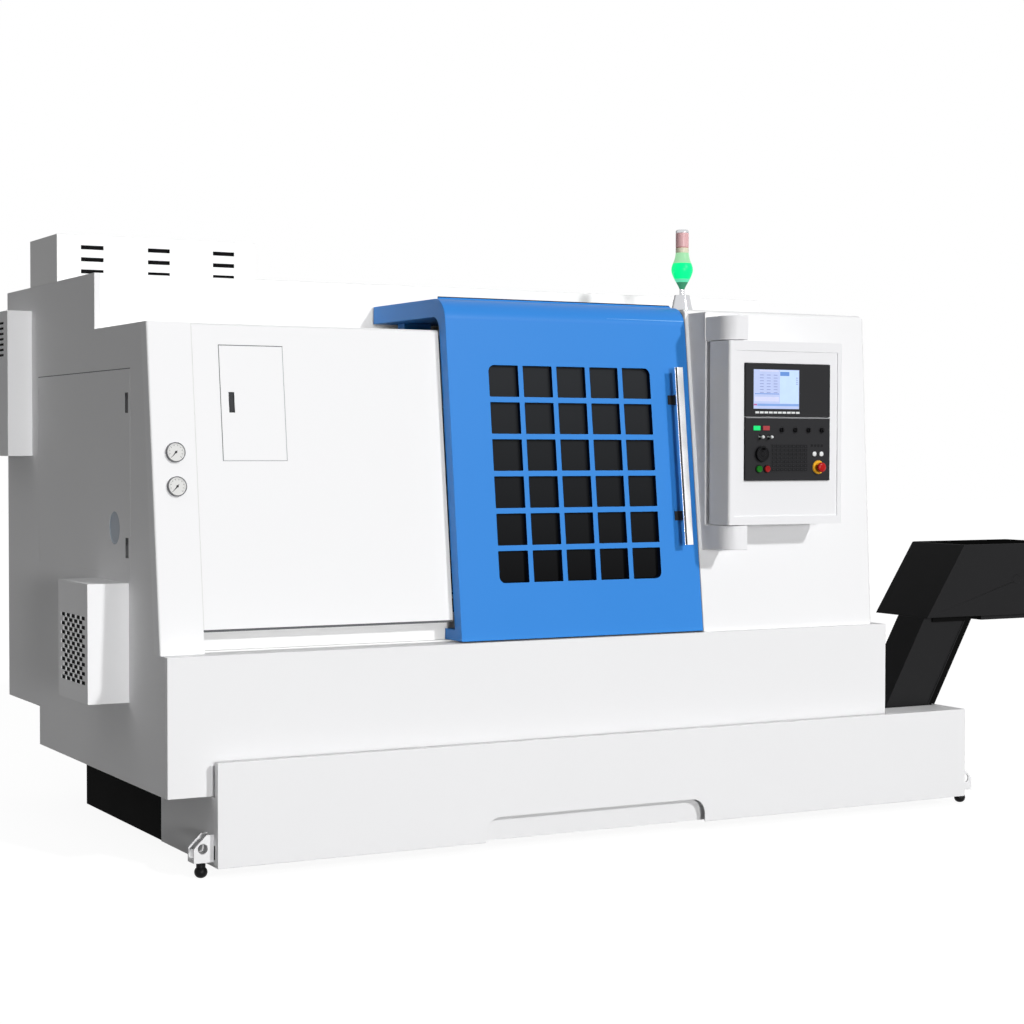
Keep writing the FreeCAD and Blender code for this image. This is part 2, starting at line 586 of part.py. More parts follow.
def coolant_tank():
    """Welded sheet tank, open under the machine, plated at its right end, with clevis lugs."""
    body = new_body("coolant_tank")
    inner_left, inner_right = "(tank_left + tank_wall)", "(tank_right - tank_wall)"
    inner_front, inner_back = "(tank_front + tank_wall)", "(tank_back - tank_wall)"
    step_right, step_back = "(body_width + seam)", "(panel + seat_gap)"
    shelf = "(tank_step_bottom - tank_wall)"
    add(body, "XY", "tank_bottom", "tank_top",
        rectangle("tank_left", "tank_right", "tank_front", "tank_back"))
    cut(body, "XY", "tank_step_bottom", "tank_top",
        rectangle("tank_left", step_right, "tank_front", step_back))
    cut(body, "XY", "tank_bottom + tank_wall", shelf,
        rectangle(inner_left, inner_right, inner_front, inner_back))
    cut(body, "XY", shelf, "tank_top - tank_wall", [
        (inner_left, f"{step_back} + tank_wall"), (f"{step_right} + tank_wall", f"{step_back} + tank_wall"),
        (f"{step_right} + tank_wall", inner_front), (inner_right, inner_front),
        (inner_right, inner_back), (inner_left, inner_back)])
    cut(body, "XY", "tank_top - tank_wall", "tank_top",
        rectangle(inner_left, "body_width - panel - tank_mouth_in", f"{step_back} + tank_wall", inner_back),
        rectangle("incline_x - incline_edge", inner_right, "conveyor_front - incline_edge",
                  "conveyor_back + incline_edge"))
    top = "(lug_bottom + lug_height)"
    for wall, outward in (("tank_left", "-"), ("tank_right", "+")):
        tip = f"({wall} {outward} lug_reach)"
        near = f"({wall} {outward} (lug_reach - lug_chamfer))"
        cheek = [(wall, "lug_bottom"), (tip, "lug_bottom"), (tip, f"{top} - lug_chamfer"),
                 (near, top), (wall, top)]
        hole = ("circle", f"{wall} {outward} lug_hole_out", "lug_bottom + lug_hole_up", "lug_hole")
        low, high = "(lug_y - lug_gap / 2 - lug_cheek)", "(lug_y + lug_gap / 2 + lug_cheek)"
        add(body, "XZ", low, f"{low} + lug_cheek", cheek, hole)
        add(body, "XZ", f"{high} - lug_cheek", high, cheek, hole)
        add(body, "XZ", f"{low} + lug_cheek", f"{high} - lug_cheek",
            [(wall, "lug_bottom"), (tip, "lug_bottom"), (tip, "lug_bottom + lug_floor"),
             (wall, "lug_bottom + lug_floor")])


def tank_ball_feet():
    """Turned ball feet under the lugs, flat where they stand, and two pads under the floor."""
    solids = []
    radius, height = value("ball_radius"), value("ball_height")
    neck, foot = value("ball_neck"), value("lug_bottom")
    flat = math.sqrt(max(radius ** 2 - (height / 2) ** 2, 1))
    rim = Vector(radius, 0, height / 2)
    low, high = Vector(flat, 0, 0), Vector(neck, 0, height - neck / 2)
    edge = Part.Arc(low, rim, high).toShape()
    rest = Part.makePolygon([high, Vector(neck, 0, foot), Vector(0, 0, foot), Vector(), low])
    turned = Part.Face(Part.Wire([edge] + rest.Edges)).revolve(Vector(), Vector(0, 0, 1), 360)
    stem, wide, rise = value("pad_stem"), value("pad_radius"), value("pad_edge")
    outline = [(0, 0), (wide, 0), (wide, rise), (stem, rise + wide - stem), (stem, value("tank_bottom")),
               (0, value("tank_bottom")), (0, 0)]
    pad = Part.Face(Part.makePolygon([Vector(u, 0, v) for u, v in outline])).revolve(
        Vector(), Vector(0, 0, 1), 360)
    for shape, y, ends in ((turned, "lug_y", ("tank_left - foot_out", "tank_right + foot_out")),
                           (pad, "pad_y", ("tank_left + pad_in", "tank_right - pad_in"))):
        for x in ends:
            foot_shape = shape.copy()
            foot_shape.translate(Vector(value(x), value(y), 0))
            solids.append(foot_shape)
    feet = doc.addObject("Part::Feature", "tank_ball_feet")
    feet.Label = "tank_ball_feet"
    feet.Shape = Part.makeCompound(solids)
    place(feet)


def tank_front_skirt():
    """Folded tray in front of the tank, open behind and below, with a long toe cut-out."""
    body = new_body("tank_front_skirt")
    front = "(tank_front - tank_skirt_depth)"
    add(body, "XZ", front, "tank_front", rectangle("tank_left", "tank_right", "tank_bottom", "tank_top"))
    cut(body, "XZ", f"{front} + tank_wall", "tank_front",
        rectangle("tank_left + tank_wall", "tank_right - tank_wall", "tank_bottom - tank_wall",
                  "tank_top - tank_wall"))
    cut(body, "XZ", f"{front} + tank_skirt_lip", "tank_front",
        rectangle("tank_left", "body_width + seam", "tank_step_bottom", "tank_top"))
    low = "(tank_bottom - tank_wall)"
    cut(body, "XZ", front, "tank_front", [
        ("cut_left", low), ("cut_left", "cut_top", "cut_round"),
        ("cut_right", "cut_top", "cut_round"), ("cut_right", low)])


def machine_bed():
    """Slant-bed casting on a cored base; the base's left end carries the spindle motor."""
    body = new_body("machine_bed")
    crest = way_line("bed_crest")
    add(body, "YZ", "bed_left", BED_RIGHT,
        rectangle("tank_back", "bed_back", "bed_bottom", "motor_base"))
    add(body, "YZ", "bed_upper_left", BED_RIGHT, [
        ("tank_back", "motor_base"), ("bed_back", "motor_base"), ("bed_back", crest),
        ("bed_crest", crest), ("tank_back", way_line("tank_back"))])
    pitch = f"(({BED_RIGHT} - bed_left - 2 * bed_wall + core_rib) / core_count)"
    core = cut(body, "XY", "bed_bottom", "motor_base - bed_wall",
               rectangle("bed_left + bed_wall", f"bed_left + bed_wall + {pitch} - core_rib",
                         "tank_back + bed_wall", "bed_back - bed_wall"))
    repeat_line(body, core, "X_Axis", "core_count", pitch)
    bosses = [("circle", f"bed_left + foot_inset_x + {i} * ({BED_RIGHT} - bed_left - 2 * foot_inset_x)"
               " / (foot_columns - 1)", y, "foot_boss_radius")
              for i in range(int(SIZES["foot_columns"]))
              for y in ("tank_back + foot_inset_y", "bed_back - foot_inset_y")]
    add(body, "XY", "bed_bottom", "motor_base - bed_wall", *bosses)


def levelling_feet():
    """Turned levelling pads under the base, in two rows."""
    solids = []
    pad = Part.makeCylinder(value("foot_radius"), value("foot_pad"))
    stem = Part.makeCylinder(value("foot_stem"), value("bed_bottom"))
    one = pad.fuse(stem).removeSplitter()
    columns = int(value("foot_columns"))
    span = value(f"{BED_RIGHT} - bed_left - 2 * foot_inset_x")
    for column in range(columns):
        for y in ("tank_back + foot_inset_y", "bed_back - foot_inset_y"):
            foot_shape = one.copy()
            x = value("bed_left + foot_inset_x") + span * column / max(columns - 1, 1)
            foot_shape.translate(Vector(x, value(y), 0))
            solids.append(foot_shape)
    feet = doc.addObject("Part::Feature", "levelling_feet")
    feet.Label = "levelling_feet"
    feet.Shape = Part.makeCompound(solids)
    place(feet)


# ---------------------------------------------------------------- machine inside


def slanted_body(label, x="0"):
    """A body whose XY plane lies on the slanted ways, with Y up the slope."""
    return new_body(label, x, WAY_Y, WAY_Z, tilt="slant")


def guide_set():
    """The ways and the screw as separate solids of one set."""
    half, length = "rail_width / 2", "(body_width - rail_end - rail_left)"
    solids = []
    for middle in (-value("rail_offset"), value("rail_offset")):
        solids.append(Part.makeBox(value(length), value("rail_width"), value("rail_height"),
                                   Vector(0, middle - value(half), 0)))
    block = value("bearing_length")
    bearing = Part.makeBox(block, value("2 * bearing_half"), value("bearing_height"),
                           Vector(0, -value("bearing_half"), 0))
    far = bearing.copy()
    far.translate(Vector(value(length) - block, 0, 0))
    screw = Part.makeCylinder(value("screw_radius"), value(length),
                              Vector(0, 0, value("screw_height")), Vector(1, 0, 0))
    solids.append(screw.fuse([bearing, far]).removeSplitter())
    ways = doc.addObject("Part::Feature", "z_axis_guide_set")
    ways.Label = "z_axis_guide_set"
    ways.Shape = Part.makeCompound(solids)
    place(ways, "rail_left", WAY_Y, WAY_Z, tilt="slant")


def headstock():
    body = slanted_body("headstock", "head_left")
    shoulder, crown = "head_shoulder", "(axis_height + head_rise)"
    add(body, "YZ", "0", "head_length", [
        ("-head_foot_half", "0"), ("-head_foot_half", "head_foot"), ("-head_half", shoulder),
        ("-head_half", crown, "head_round"), ("head_half", crown, "head_round"),
        ("head_half", shoulder), ("head_foot_half", "head_foot"), ("head_foot_half", "0")])
    cut(body, "YZ", "0", "head_length",
        ("circle", "0", "axis_height", "shaft_radius + pin_play"))


def grooved_rim(left, radius, inward):
    """Corner points of a pulley's rim with V grooves, from left to right."""
    pitch = "(pulley_length / groove_count)"
    points = []
    for i in range(int(value("groove_count"))):
        start = f"({left} + {i} * {pitch})"
        points += [(start, radius), (f"{start} + {pitch} * 0.4", radius),
                   (f"{start} + {pitch} * 0.7", f"{radius} - {inward}")]
    return points + [(f"{left} + pulley_length", radius)]


def spindle():
    """Hollow spindle with its chuck cylinder, grooved pulley and nose flange, turned about X."""
    body = new_body("spindle", "head_left", "spindle_y", "spindle_z")
    pulley = "(-pulley_gap - pulley_length)"
    rear = f"({pulley} - cylinder_length)"
    nose = "(head_length + seat_gap)"
    turn(body, "XZ", "H_Axis", [
        (rear, "bore_radius"), (rear, "cylinder_radius"), (pulley, "cylinder_radius"),
        *grooved_rim(pulley, "pulley_radius", "pulley_groove"),
        ("-pulley_gap", "shaft_radius"), (nose, "shaft_radius"), (nose, "flange_radius"),
        ("head_length + flange_length", "flange_radius"),
        ("head_length + flange_length", "bore_radius")])


def chuck_body():
    body = new_body("chuck_body", "head_left + head_length + flange_length", "spindle_y", "spindle_z")
    turn(body, "XZ", "H_Axis", [
        ("0", "chuck_bore"), ("0", "chuck_radius"),
        ("chuck_length", "chuck_radius", "pulley_groove"), ("chuck_length", "chuck_bore")])
    slot = cut(body, "XY", "0", "chuck_radius",
               rectangle("chuck_length - jaw_slot_depth", "chuck_length",
                         "-jaw_slot / 2", "jaw_slot / 2"))
    repeat_round(body, slot, "X_Axis", "jaw_count")


def chuck_jaws():
    """Stepped jaws, one node each, in the chuck's radial slots."""
    for number in range(int(SIZES["jaw_count"])):
        body = new_body(f"chuck_jaw_{number + 1}",
                        "head_left + head_length + flange_length + chuck_length",
                        "spindle_y", "spindle_z", tilt=f"{number} * 360 / jaw_count")
        half = "(jaw_slot / 2 - jaw_side_gap)"
        add(body, "XZ", f"-{half}", half, [
            ("jaw_side_gap - jaw_slot_depth", "jaw_inner"), ("jaw_height", "jaw_inner"),
            ("jaw_height", "jaw_inner + jaw_step"), ("jaw_height / 2", "jaw_inner + jaw_step"),
            ("jaw_height / 2", "jaw_inner + 2 * jaw_step"), ("jaw_step", "jaw_outer"),
            ("jaw_side_gap - jaw_slot_depth", "jaw_outer")])


MOTOR_LEFT = "(head_left - pulley_gap - pulley_length - seat_gap - pulley_groove - motor_length)"


def spindle_motor():
    body = new_body("spindle_motor", MOTOR_LEFT, "motor_y", "motor_z")
    corner = "(motor_half - motor_chamfer)"
    add(body, "YZ", "0", "motor_length", [
        ("-motor_half", f"-{corner}"), (f"-{corner}", "-motor_half"), (corner, "-motor_half"),
        ("motor_half", f"-{corner}"), ("motor_half", corner), (corner, "motor_half"),
        (f"-{corner}", "motor_half"), ("-motor_half", corner)])
    add(body, "YZ", "0", "motor_length", [
        ("-motor_foot_half", "motor_base - motor_z"), ("motor_foot_half", "motor_base - motor_z"),
        ("motor_foot_half", "motor_base - motor_z + motor_foot"),
        (corner, "-motor_half + motor_foot"), (f"-{corner}", "-motor_half + motor_foot"),
        ("-motor_foot_half", "motor_base - motor_z + motor_foot")])
    cut(body, "YZ", "motor_length / 2", "motor_length",
        ("circle", "0", "0", "motor_shaft + pin_play"))


def motor_pulley():
    body = new_body("motor_pulley", "head_left - pulley_gap - pulley_length", "motor_y", "motor_z")
    tail = "(-motor_length / 3)"
    turn(body, "XZ", "H_Axis", [
        (tail, "0"), (tail, "motor_shaft"), ("0", "motor_shaft"),
        *grooved_rim("0", "motor_pulley_radius", "pulley_groove"), ("pulley_length", "0")])


def belt_loop(first, second, grow):
    """The face inside a tight loop round two pulley circles grown by a margin, in the YZ plane."""
    (y_one, z_one, r_one), (y_two, z_two, r_two) = first, second
    r_one, r_two = r_one + grow, r_two + grow
    span = math.hypot(y_two - y_one, z_two - z_one)
    heading = math.atan2(z_two - z_one, y_two - y_one)
    lift = math.acos((r_one - r_two) / span)

    def spot(y, z, radius, angle):
        return Vector(0, y + radius * math.cos(angle), z + radius * math.sin(angle))

    one = [spot(y_one, z_one, r_one, heading + side) for side in (lift, math.pi, -lift)]
    two = [spot(y_two, z_two, r_two, heading + side) for side in (-lift, 0, lift)]
    edges = [Part.Arc(*one).toShape(), Part.makeLine(one[2], two[0]), Part.Arc(*two).toShape(),
             Part.makeLine(two[2], one[0])]
    return Part.Face(Part.Wire(edges))


def drive_belt():
    """Ribbed belt that wraps both pulleys."""
    big = (value("spindle_y"), value("spindle_z"), value("pulley_radius"))
    small = (value("motor_y"), value("motor_z"), value("motor_pulley_radius"))
    outer = belt_loop(big, small, value("seat_gap + belt_thickness"))
    inner = belt_loop(big, small, value("seat_gap"))
    belt = doc.addObject("Part::Feature", "drive_belt")
    belt.Label = "drive_belt"
    belt.Shape = outer.cut(inner).extrude(Vector(value("belt_width"), 0, 0))
    left = "head_left - pulley_gap - pulley_length + (pulley_length - belt_width) / 2"
    place(belt, left)


def slide_profile(low, high, top):
    """Section of a slide that straddles both ways and the screw, as corner points."""
    half = "(rail_width / 2 + seat_gap)"
    notch = "(rail_height + seat_gap)"
    points = [(low, "saddle_bottom")]
    for middle, reach, roof in (("(-rail_offset)", half, notch), ("0", "channel_half", "channel_top"),
                                ("rail_offset", half, notch)):
        left, right = f"{middle} - {reach}", f"{middle} + {reach}"
        points += [(left, "saddle_bottom"), (left, roof), (right, roof), (right, "saddle_bottom")]
    return points + [(high, "saddle_bottom"), (high, top), (low, top)]


def carriage():
    """Saddle on the ways, with the cross rails on its back."""
    body = slanted_body("carriage", "saddle_left")
    add(body, "YZ", "0", "saddle_length", slide_profile("-saddle_low", "saddle_high", "saddle_top"))
    for left in ("cross_rail_in", "(saddle_length - cross_rail_in - cross_rail_width)"):
        add(body, "XY", "saddle_top", "saddle_top + cross_rail_height",
            rectangle(left, f"{left} + cross_rail_width", "-saddle_low", "saddle_high"))


def cross_slide():
    """Slide plate with notches on the cross rails, and the turret housing on it."""
    body = slanted_body("cross_slide", "saddle_left")
    low, high = "(turret_out - cross_length / 2)", "(turret_out + cross_length / 2)"
    foot, crown = "(saddle_top + seat_gap)", "(saddle_top + cross_base)"
    near, far = "(cross_rail_in - seat_gap)", "(cross_rail_in + cross_rail_width + seat_gap)"
    roof = "(saddle_top + cross_rail_height + seat_gap)"
    end = "(saddle_length - cross_left)"
    add(body, "XZ", low, high, [
        ("cross_left", foot), (near, foot), (near, roof), (far, roof), (far, foot),
        (f"saddle_length - {far}", foot), (f"saddle_length - {far}", roof),
        (f"saddle_length - {near}", roof), (f"saddle_length - {near}", foot), (end, foot),
        (end, crown), ("cross_left", crown)])
    left = "(turret_left - saddle_left)"
    top = "(axis_height + turret_half)"
    add(body, "YZ", left, f"{left} + turret_length", [
        ("turret_out - turret_half", crown), ("turret_out + turret_half", crown),
        ("turret_out + turret_half", top, "turret_round"),
        ("turret_out - turret_half", top, "turret_round")])
    cut(body, "YZ", left, f"{left} + stub_length + seat_gap",
        ("circle", "turret_out", "axis_height", "disc_stub + pin_play"))


def turret_disc():
    """Indexing disc with a tool block and a square shank at each flat."""
    body = new_body("turret_disc", "turret_left",
                    f"({WAY_Y}) + turret_out * cos(slant * 1 deg) - axis_height * sin(slant * 1 deg)",
                    f"({WAY_Z}) + turret_out * sin(slant * 1 deg) + axis_height * cos(slant * 1 deg)")
    turn(body, "XZ", "H_Axis", [
        ("-seat_gap - disc_length", "0"), ("-seat_gap - disc_length", "disc_flat", "pulley_groove"),
        ("-seat_gap", "disc_flat", "pulley_groove"), ("-seat_gap", "disc_stub"),
        ("stub_length", "disc_stub"), ("stub_length", "0")])
    middle = "(-seat_gap - disc_length / 2)"
    block = add(body, "XY", "disc_flat - block_rise", "disc_flat + block_rise",
                rectangle(f"{middle} - block_length / 2", f"{middle} + block_length / 2",
                          "-block_width / 2", "block_width / 2"))
    repeat_round(body, block, "X_Axis", "station_count")
    shank = add(body, "XY", "disc_flat", "disc_flat + block_rise + shank_rise",
                rectangle(f"{middle} - shank_side / 2", f"{middle} + shank_side / 2",
                          "-shank_side / 2", "shank_side / 2"))
    repeat_round(body, shank, "X_Axis", "station_count")


def tailstock_body():
    body = slanted_body("tailstock_body", "tail_left")
    add(body, "YZ", "0", "tail_length",
        slide_profile("-tail_foot_half", "tail_foot_half", "tail_foot_top"))
    crown = "(axis_height + tail_half)"
    add(body, "YZ", "0", "tail_length", [
        ("-tail_foot_half + tail_half", "tail_foot_top"),
        ("tail_foot_half - tail_half", "tail_foot_top"), ("tail_half", "axis_height - tail_half"),
        ("tail_half", crown, "tail_round"), ("-tail_half", crown, "tail_round"),
        ("-tail_half", "axis_height - tail_half")])
    cut(body, "YZ", "0", "tail_length",
        ("circle", "0", "axis_height", "quill_radius + pin_play"))


def tailstock_quill():
    body = new_body("tailstock_quill", "tail_left", "spindle_y", "spindle_z")
    socket = "(centre_shank + pin_play)"
    turn(body, "XZ", "H_Axis", [
        ("-quill_out", socket), ("-quill_out", "quill_radius"),
        ("tail_length - quill_end_in", "quill_radius"), ("tail_length - quill_end_in", "0"),
        ("centre_shank_length - quill_out + seat_gap", "0"),
        ("centre_shank_length - quill_out + seat_gap", socket)])


def live_centre():
    body = new_body("live_centre", "tail_left - quill_out", "spindle_y", "spindle_z")
    back = "(-turn_play)"
    face = f"({back} - centre_body_length)"
    turn(body, "XZ", "H_Axis", [
        (f"{face} - centre_tip", "0"), (face, "centre_body * 0.75"), (face, "centre_body"),
        (back, "centre_body"), (back, "centre_shank"), ("centre_shank_length", "centre_shank"),
        ("centre_shank_length", "0")])


# ---------------------------------------------------------------- sliding door

WINDOW_RIGHT = "(window_left + pane_columns * pane_width + (pane_columns - 1) * pane_bar)"
WINDOW_TOP = "(window_bottom + pane_rows * pane_height + (pane_rows - 1) * pane_bar)"


def door_shell():
    """C-shaped door: leaning front, long top arm, bottom lip, guide shoes and window bars."""
    body = new_body("door_shell")
    lip_top = "(door_bottom + lip_height)"
    arm_under = "(door_top - arm_height)"
    add(body, "YZ", "door_left", "door_right", [
        (door_plane("door_bottom"), "door_bottom"), (door_plane("door_top"), "door_top", "door_round"),
        ("arm_back", "door_top"), ("arm_back", arm_under),
        (f"{door_plane(arm_under)} + door_depth", arm_under, "door_inner_round"),
        (f"{door_plane(lip_top)} + door_depth", lip_top), ("lip_back", lip_top),
        ("lip_back", "door_bottom")])
    cut(body, "XZ", "0", f"{door_plane(arm_under)} + door_depth",
        rectangle("window_left", WINDOW_RIGHT, "window_bottom", WINDOW_TOP, "window_round"))
    strips = []
    for row in range(1, int(SIZES["pane_rows"])):
        low = f"(window_bottom + {row} * (pane_height + pane_bar) - pane_bar)"
        high = f"({low} + pane_bar)"
        strips.append([(door_plane(low), low), (door_plane(high), high),
                       (f"{door_plane(high)} + bar_depth", high),
                       (f"{door_plane(low)} + bar_depth", low)])
    add(body, "YZ", "window_left - bar_depth", f"{WINDOW_RIGHT} + bar_depth", *strips)
    low, high = "(window_bottom - bar_depth)", f"({WINDOW_TOP} + bar_depth)"
    upright = add(body, "YZ", "window_left + pane_width", "window_left + pane_width + pane_bar",
                  [(door_plane(low), low), (door_plane(high), high),
                   (f"{door_plane(high)} + bar_depth", high),
                   (f"{door_plane(low)} + bar_depth", low)])
    repeat_line(body, upright, "X_Axis", "pane_columns - 1", "pane_width + pane_bar")
    guide_top = "(front_top + guide_height + seat_gap)"
    near, far = "(guide_front - seat_gap)", "(guide_front + guide_width + seat_gap)"
    shoe_foot = "(front_top + guide_height / 2)"
    for left in ("(door_left + shoe_in)", "(door_right - shoe_in - shoe_length)"):
        add(body, "YZ", left, f"{left} + shoe_length", [
            (f"{near} - shoe_wall", arm_under), (f"{near} - shoe_wall", shoe_foot),
            (near, shoe_foot), (near, guide_top), (far, guide_top), (far, shoe_foot),
            (f"{far} + shoe_wall", shoe_foot), (f"{far} + shoe_wall", arm_under)])


def door_glass():
    """Laminated pane behind the bars, in the door's tilted frame."""
    body = new_body("door_glass", "0", "door_foot", "skirt_top", tilt="-lean")
    front = "(bar_depth * cos(lean * 1 deg) + seat_gap)"
    rise = f"({front} + glass_thickness) * {TILT}"
    add(body, "XZ", front, f"{front} + glass_thickness",
        rectangle("window_left + glass_edge", f"{WINDOW_RIGHT} - glass_edge",
                  f"{slope('window_bottom')} + {rise} + glass_edge",
                  f"{slope(WINDOW_TOP)} + {front} * {TILT} - glass_edge",
                  "window_round + glass_edge"))


def door_handle():
    """Flat bar held off the door on two brackets."""
    body = new_body("door_handle", "0", "door_foot", "skirt_top", tilt="-lean")
    add(body, "XZ", "-handle_standoff", "handle_thickness - handle_standoff",
        rectangle("handle_left", "handle_left + handle_width", slope("handle_bottom"),
                  slope("handle_top")))
    side = "(handle_left + (handle_width - bracket_width) / 2)"
    for middle in ("bracket_low", "bracket_high"):
        add(body, "XZ", "handle_thickness - handle_standoff", "-seat_gap",
            rectangle(side, f"{side} + bracket_width", f"{slope(middle)} - bracket_height / 2",
                      f"{slope(middle)} + bracket_height / 2"))


# ---------------------------------------------------------------- pendant

PIVOT_X = "(post_left + pivot_in)"
PIVOT_Y = "(pendant_face + pivot_back)"
UNIT_FACE = "(pendant_face + frame_recess + unit_recess - unit_thickness)"


def pendant_post():
    """Upright wedge on the leaning cover, with two rounded arms bored for the pivot."""
    body = new_body("pendant_post")
    add(body, "YZ", "post_left", "post_left + post_width", [
        ("post_front", "post_bottom"), ("post_front", "post_top"),
        (door_plane("cover_top - cover_round"), "post_top"),
        (door_plane("cover_top - cover_round"), "cover_top - cover_round"),
        (door_plane("post_bottom"), "post_bottom")])
    for low, high in (("lower_arm_bottom", "lower_arm_top"), ("upper_arm_bottom", "upper_arm_top")):
        add(body, "XY", low, high, [
            ("post_left", "post_front"), ("post_left", "pendant_face", "arm_round"),
            ("post_left + arm_width", "pendant_face"), ("post_left + arm_width", "post_front")])
        cut(body, "XY", low, high, ("circle", PIVOT_X, PIVOT_Y, "pivot_radius + pin_play"))


def pendant_housing():
    """Control housing with a framed recess, a deeper bay for the units and its pivot pin ends."""
    body = new_body("pendant_housing")
    low, high = "(lower_arm_top + pendant_gap)", "(upper_arm_bottom - pendant_gap)"
    add(body, "XY", low, high,
        rectangle("post_left + pendant_gap", "pendant_right", "pendant_face",
                  "pendant_face + pendant_depth", "pendant_round"))
    add(body, "XY", "lower_arm_top - pivot_length", "upper_arm_bottom + pivot_length",
        ("circle", PIVOT_X, PIVOT_Y, "pivot_radius"))
    cut(body, "XZ", "pendant_face", "pendant_face + frame_recess",
        rectangle("frame_left", "frame_right", "frame_bottom", "frame_top"))
    floor = "(pendant_face + frame_recess)"
    cut(body, "XZ", floor, f"{floor} + unit_recess",
        rectangle("unit_left - unit_seam", "unit_right + unit_seam", "unit_bottom - unit_seam",
                  "unit_top + unit_seam"))


def screen_unit():
    body = new_body("screen_unit")
    add(body, "XZ", UNIT_FACE, f"{UNIT_FACE} + unit_thickness",
        rectangle("unit_left", "unit_right", "unit_split + unit_seam", "unit_top"))
    cut(body, "XZ", UNIT_FACE, f"{UNIT_FACE} + screen_recess",
        rectangle("screen_left", "screen_right", "screen_bottom", "screen_top"))


def operator_panel():
    """Panel with stem bores, lever slots, collars, pilot lamps and the keypad field."""
    body = new_body("operator_panel")
    back = f"({UNIT_FACE} + unit_thickness)"
    add(body, "XZ", UNIT_FACE, back,
        rectangle("unit_left", "unit_right", "unit_bottom", "unit_split - unit_seam"))
    add(body, "XZ", f"{UNIT_FACE} - estop_ring_height", UNIT_FACE,
        ("circle", "estop_x", "estop_z", "estop_ring"))
    add(body, "XZ", f"{UNIT_FACE} - key_height", UNIT_FACE,
        rectangle("key_left", "key_left + key_width", "key_bottom", "key_bottom + key_rise"))
    lamps = [("circle", f"lamp_first + {i} * lamp_pitch", "lamp_z", "lamp_radius") for i in range(2)]
    add(body, "XZ", f"{UNIT_FACE} - lamp_height", UNIT_FACE, *lamps)
    bores = [("estop_x", "estop_z"), ("start_x", "button_z"), ("hold_x", "button_z"),
             ("wheel_x", "wheel_z")]
    bores += [(f"selector_first + {i} * selector_pitch", "selector_z")
              for i in range(int(SIZES["selector_count"]))]
    cut(body, "XZ", f"{UNIT_FACE} - estop_ring_height", back,
        *[("circle", x, z, "stem_radius + pin_play") for x, z in bores])
    slots = []
    for i in range(2):
        x = f"(toggle_first + {i} * toggle_pitch)"
        slots.append(rectangle(f"{x} - toggle_slot_width / 2", f"{x} + toggle_slot_width / 2",
                               "toggle_z - toggle_slot_height / 2",
                               "toggle_z + toggle_slot_height / 2"))
    cut(body, "XZ", UNIT_FACE, f"{UNIT_FACE} + toggle_depth", *slots)


def turned_control(label, x, z, profile):
    """A control turned about the Y axis through its own centre on the panel's face."""
    body = new_body(label, x, UNIT_FACE, z)
    turn(body, "YZ", "H_Axis", profile)
    return body


def push_controls():
    """Emergency stop and the two push buttons, each with its stem."""
    head = "(-estop_ring_height - estop_travel - seat_gap)"
    turned_control("emergency_stop", "estop_x", "estop_z", [
        ("stem_length", "0"), ("stem_length", "stem_radius"), (head, "stem_radius"),
        (head, "estop_head"), (f"{head} - estop_height / 2", "estop_head", "estop_ring_height"),
        (f"{head} - estop_height / 2", "0")])
    face = "(-button_travel - seat_gap)"
    for label, x in (("cycle_start_button", "start_x"), ("feed_hold_button", "hold_x")):
        turned_control(label, x, "button_z", [
            ("stem_length", "0"), ("stem_length", "stem_radius"), (face, "stem_radius"),
            (face, "button_radius"), (f"{face} - button_height", "button_radius", "button_ring"),
            (f"{face} - button_height", "0")])


def handwheel():
    rim = "(-turn_play - seat_gap)"
    body = turned_control("handwheel", "wheel_x", "wheel_z", [
        ("stem_length", "0"), ("stem_length", "stem_radius"), (rim, "stem_radius"),
        (rim, "wheel_radius"), (f"{rim} - wheel_thickness", "wheel_radius", "key_height"),
        (f"{rim} - wheel_thickness", "0")])
    out = "(control_reach - (pendant_face - " + UNIT_FACE + "))"
    add(body, "XZ", f"-{out}", f"{rim} - wheel_thickness",
        ("circle", "0", "crank_offset", "crank_radius"))


def selector_knobs():
    for i in range(int(SIZES["selector_count"])):
        rim = "(-turn_play - seat_gap)"
        body = turned_control(f"selector_knob_{i + 1}", f"(selector_first + {i} * selector_pitch)",
                              "selector_z", [
            ("stem_length", "0"), ("stem_length", "stem_radius"), (rim, "stem_radius"),
            (rim, "selector_radius"), (f"{rim} - selector_height / 2", "selector_radius"),
            (f"{rim} - selector_height / 2", "0")])
        add(body, "XZ", f"{rim} - selector_height", f"{rim} - selector_height / 2",
            rectangle("-selector_bar / 2", "selector_bar / 2", "-selector_radius + key_height",
                      "selector_radius - key_height"))


def lever_switches():
    """Short bat levers on a ball in their slots."""
    for i in range(2):
        depth = "(toggle_ball + seat_gap)"
        body = new_body(f"lever_switch_{i + 1}", f"(toggle_first + {i} * toggle_pitch)",
                        f"({UNIT_FACE} + {depth})", "toggle_z")
        start = "(-toggle_out)"
        turn(body, "YZ", "H_Axis", [
            (f"{start} - toggle_tip_length", "0"), (f"{start} - toggle_tip_length", "toggle_tip"),
            (start, "toggle_tip"), (start, "toggle_rod"), ("-toggle_ball", "toggle_rod"),
            ("-toggle_ball / 2", "toggle_ball"), ("toggle_ball / 2", "toggle_ball"),
            ("toggle_ball", "toggle_rod"), ("toggle_ball", "0")])
        add(body, "YZ", "-toggle_pin / 2", "toggle_pin / 2", ("circle", "0", "0", "toggle_ball"))


# ---------------------------------------------------------------- boxes, gauges, light


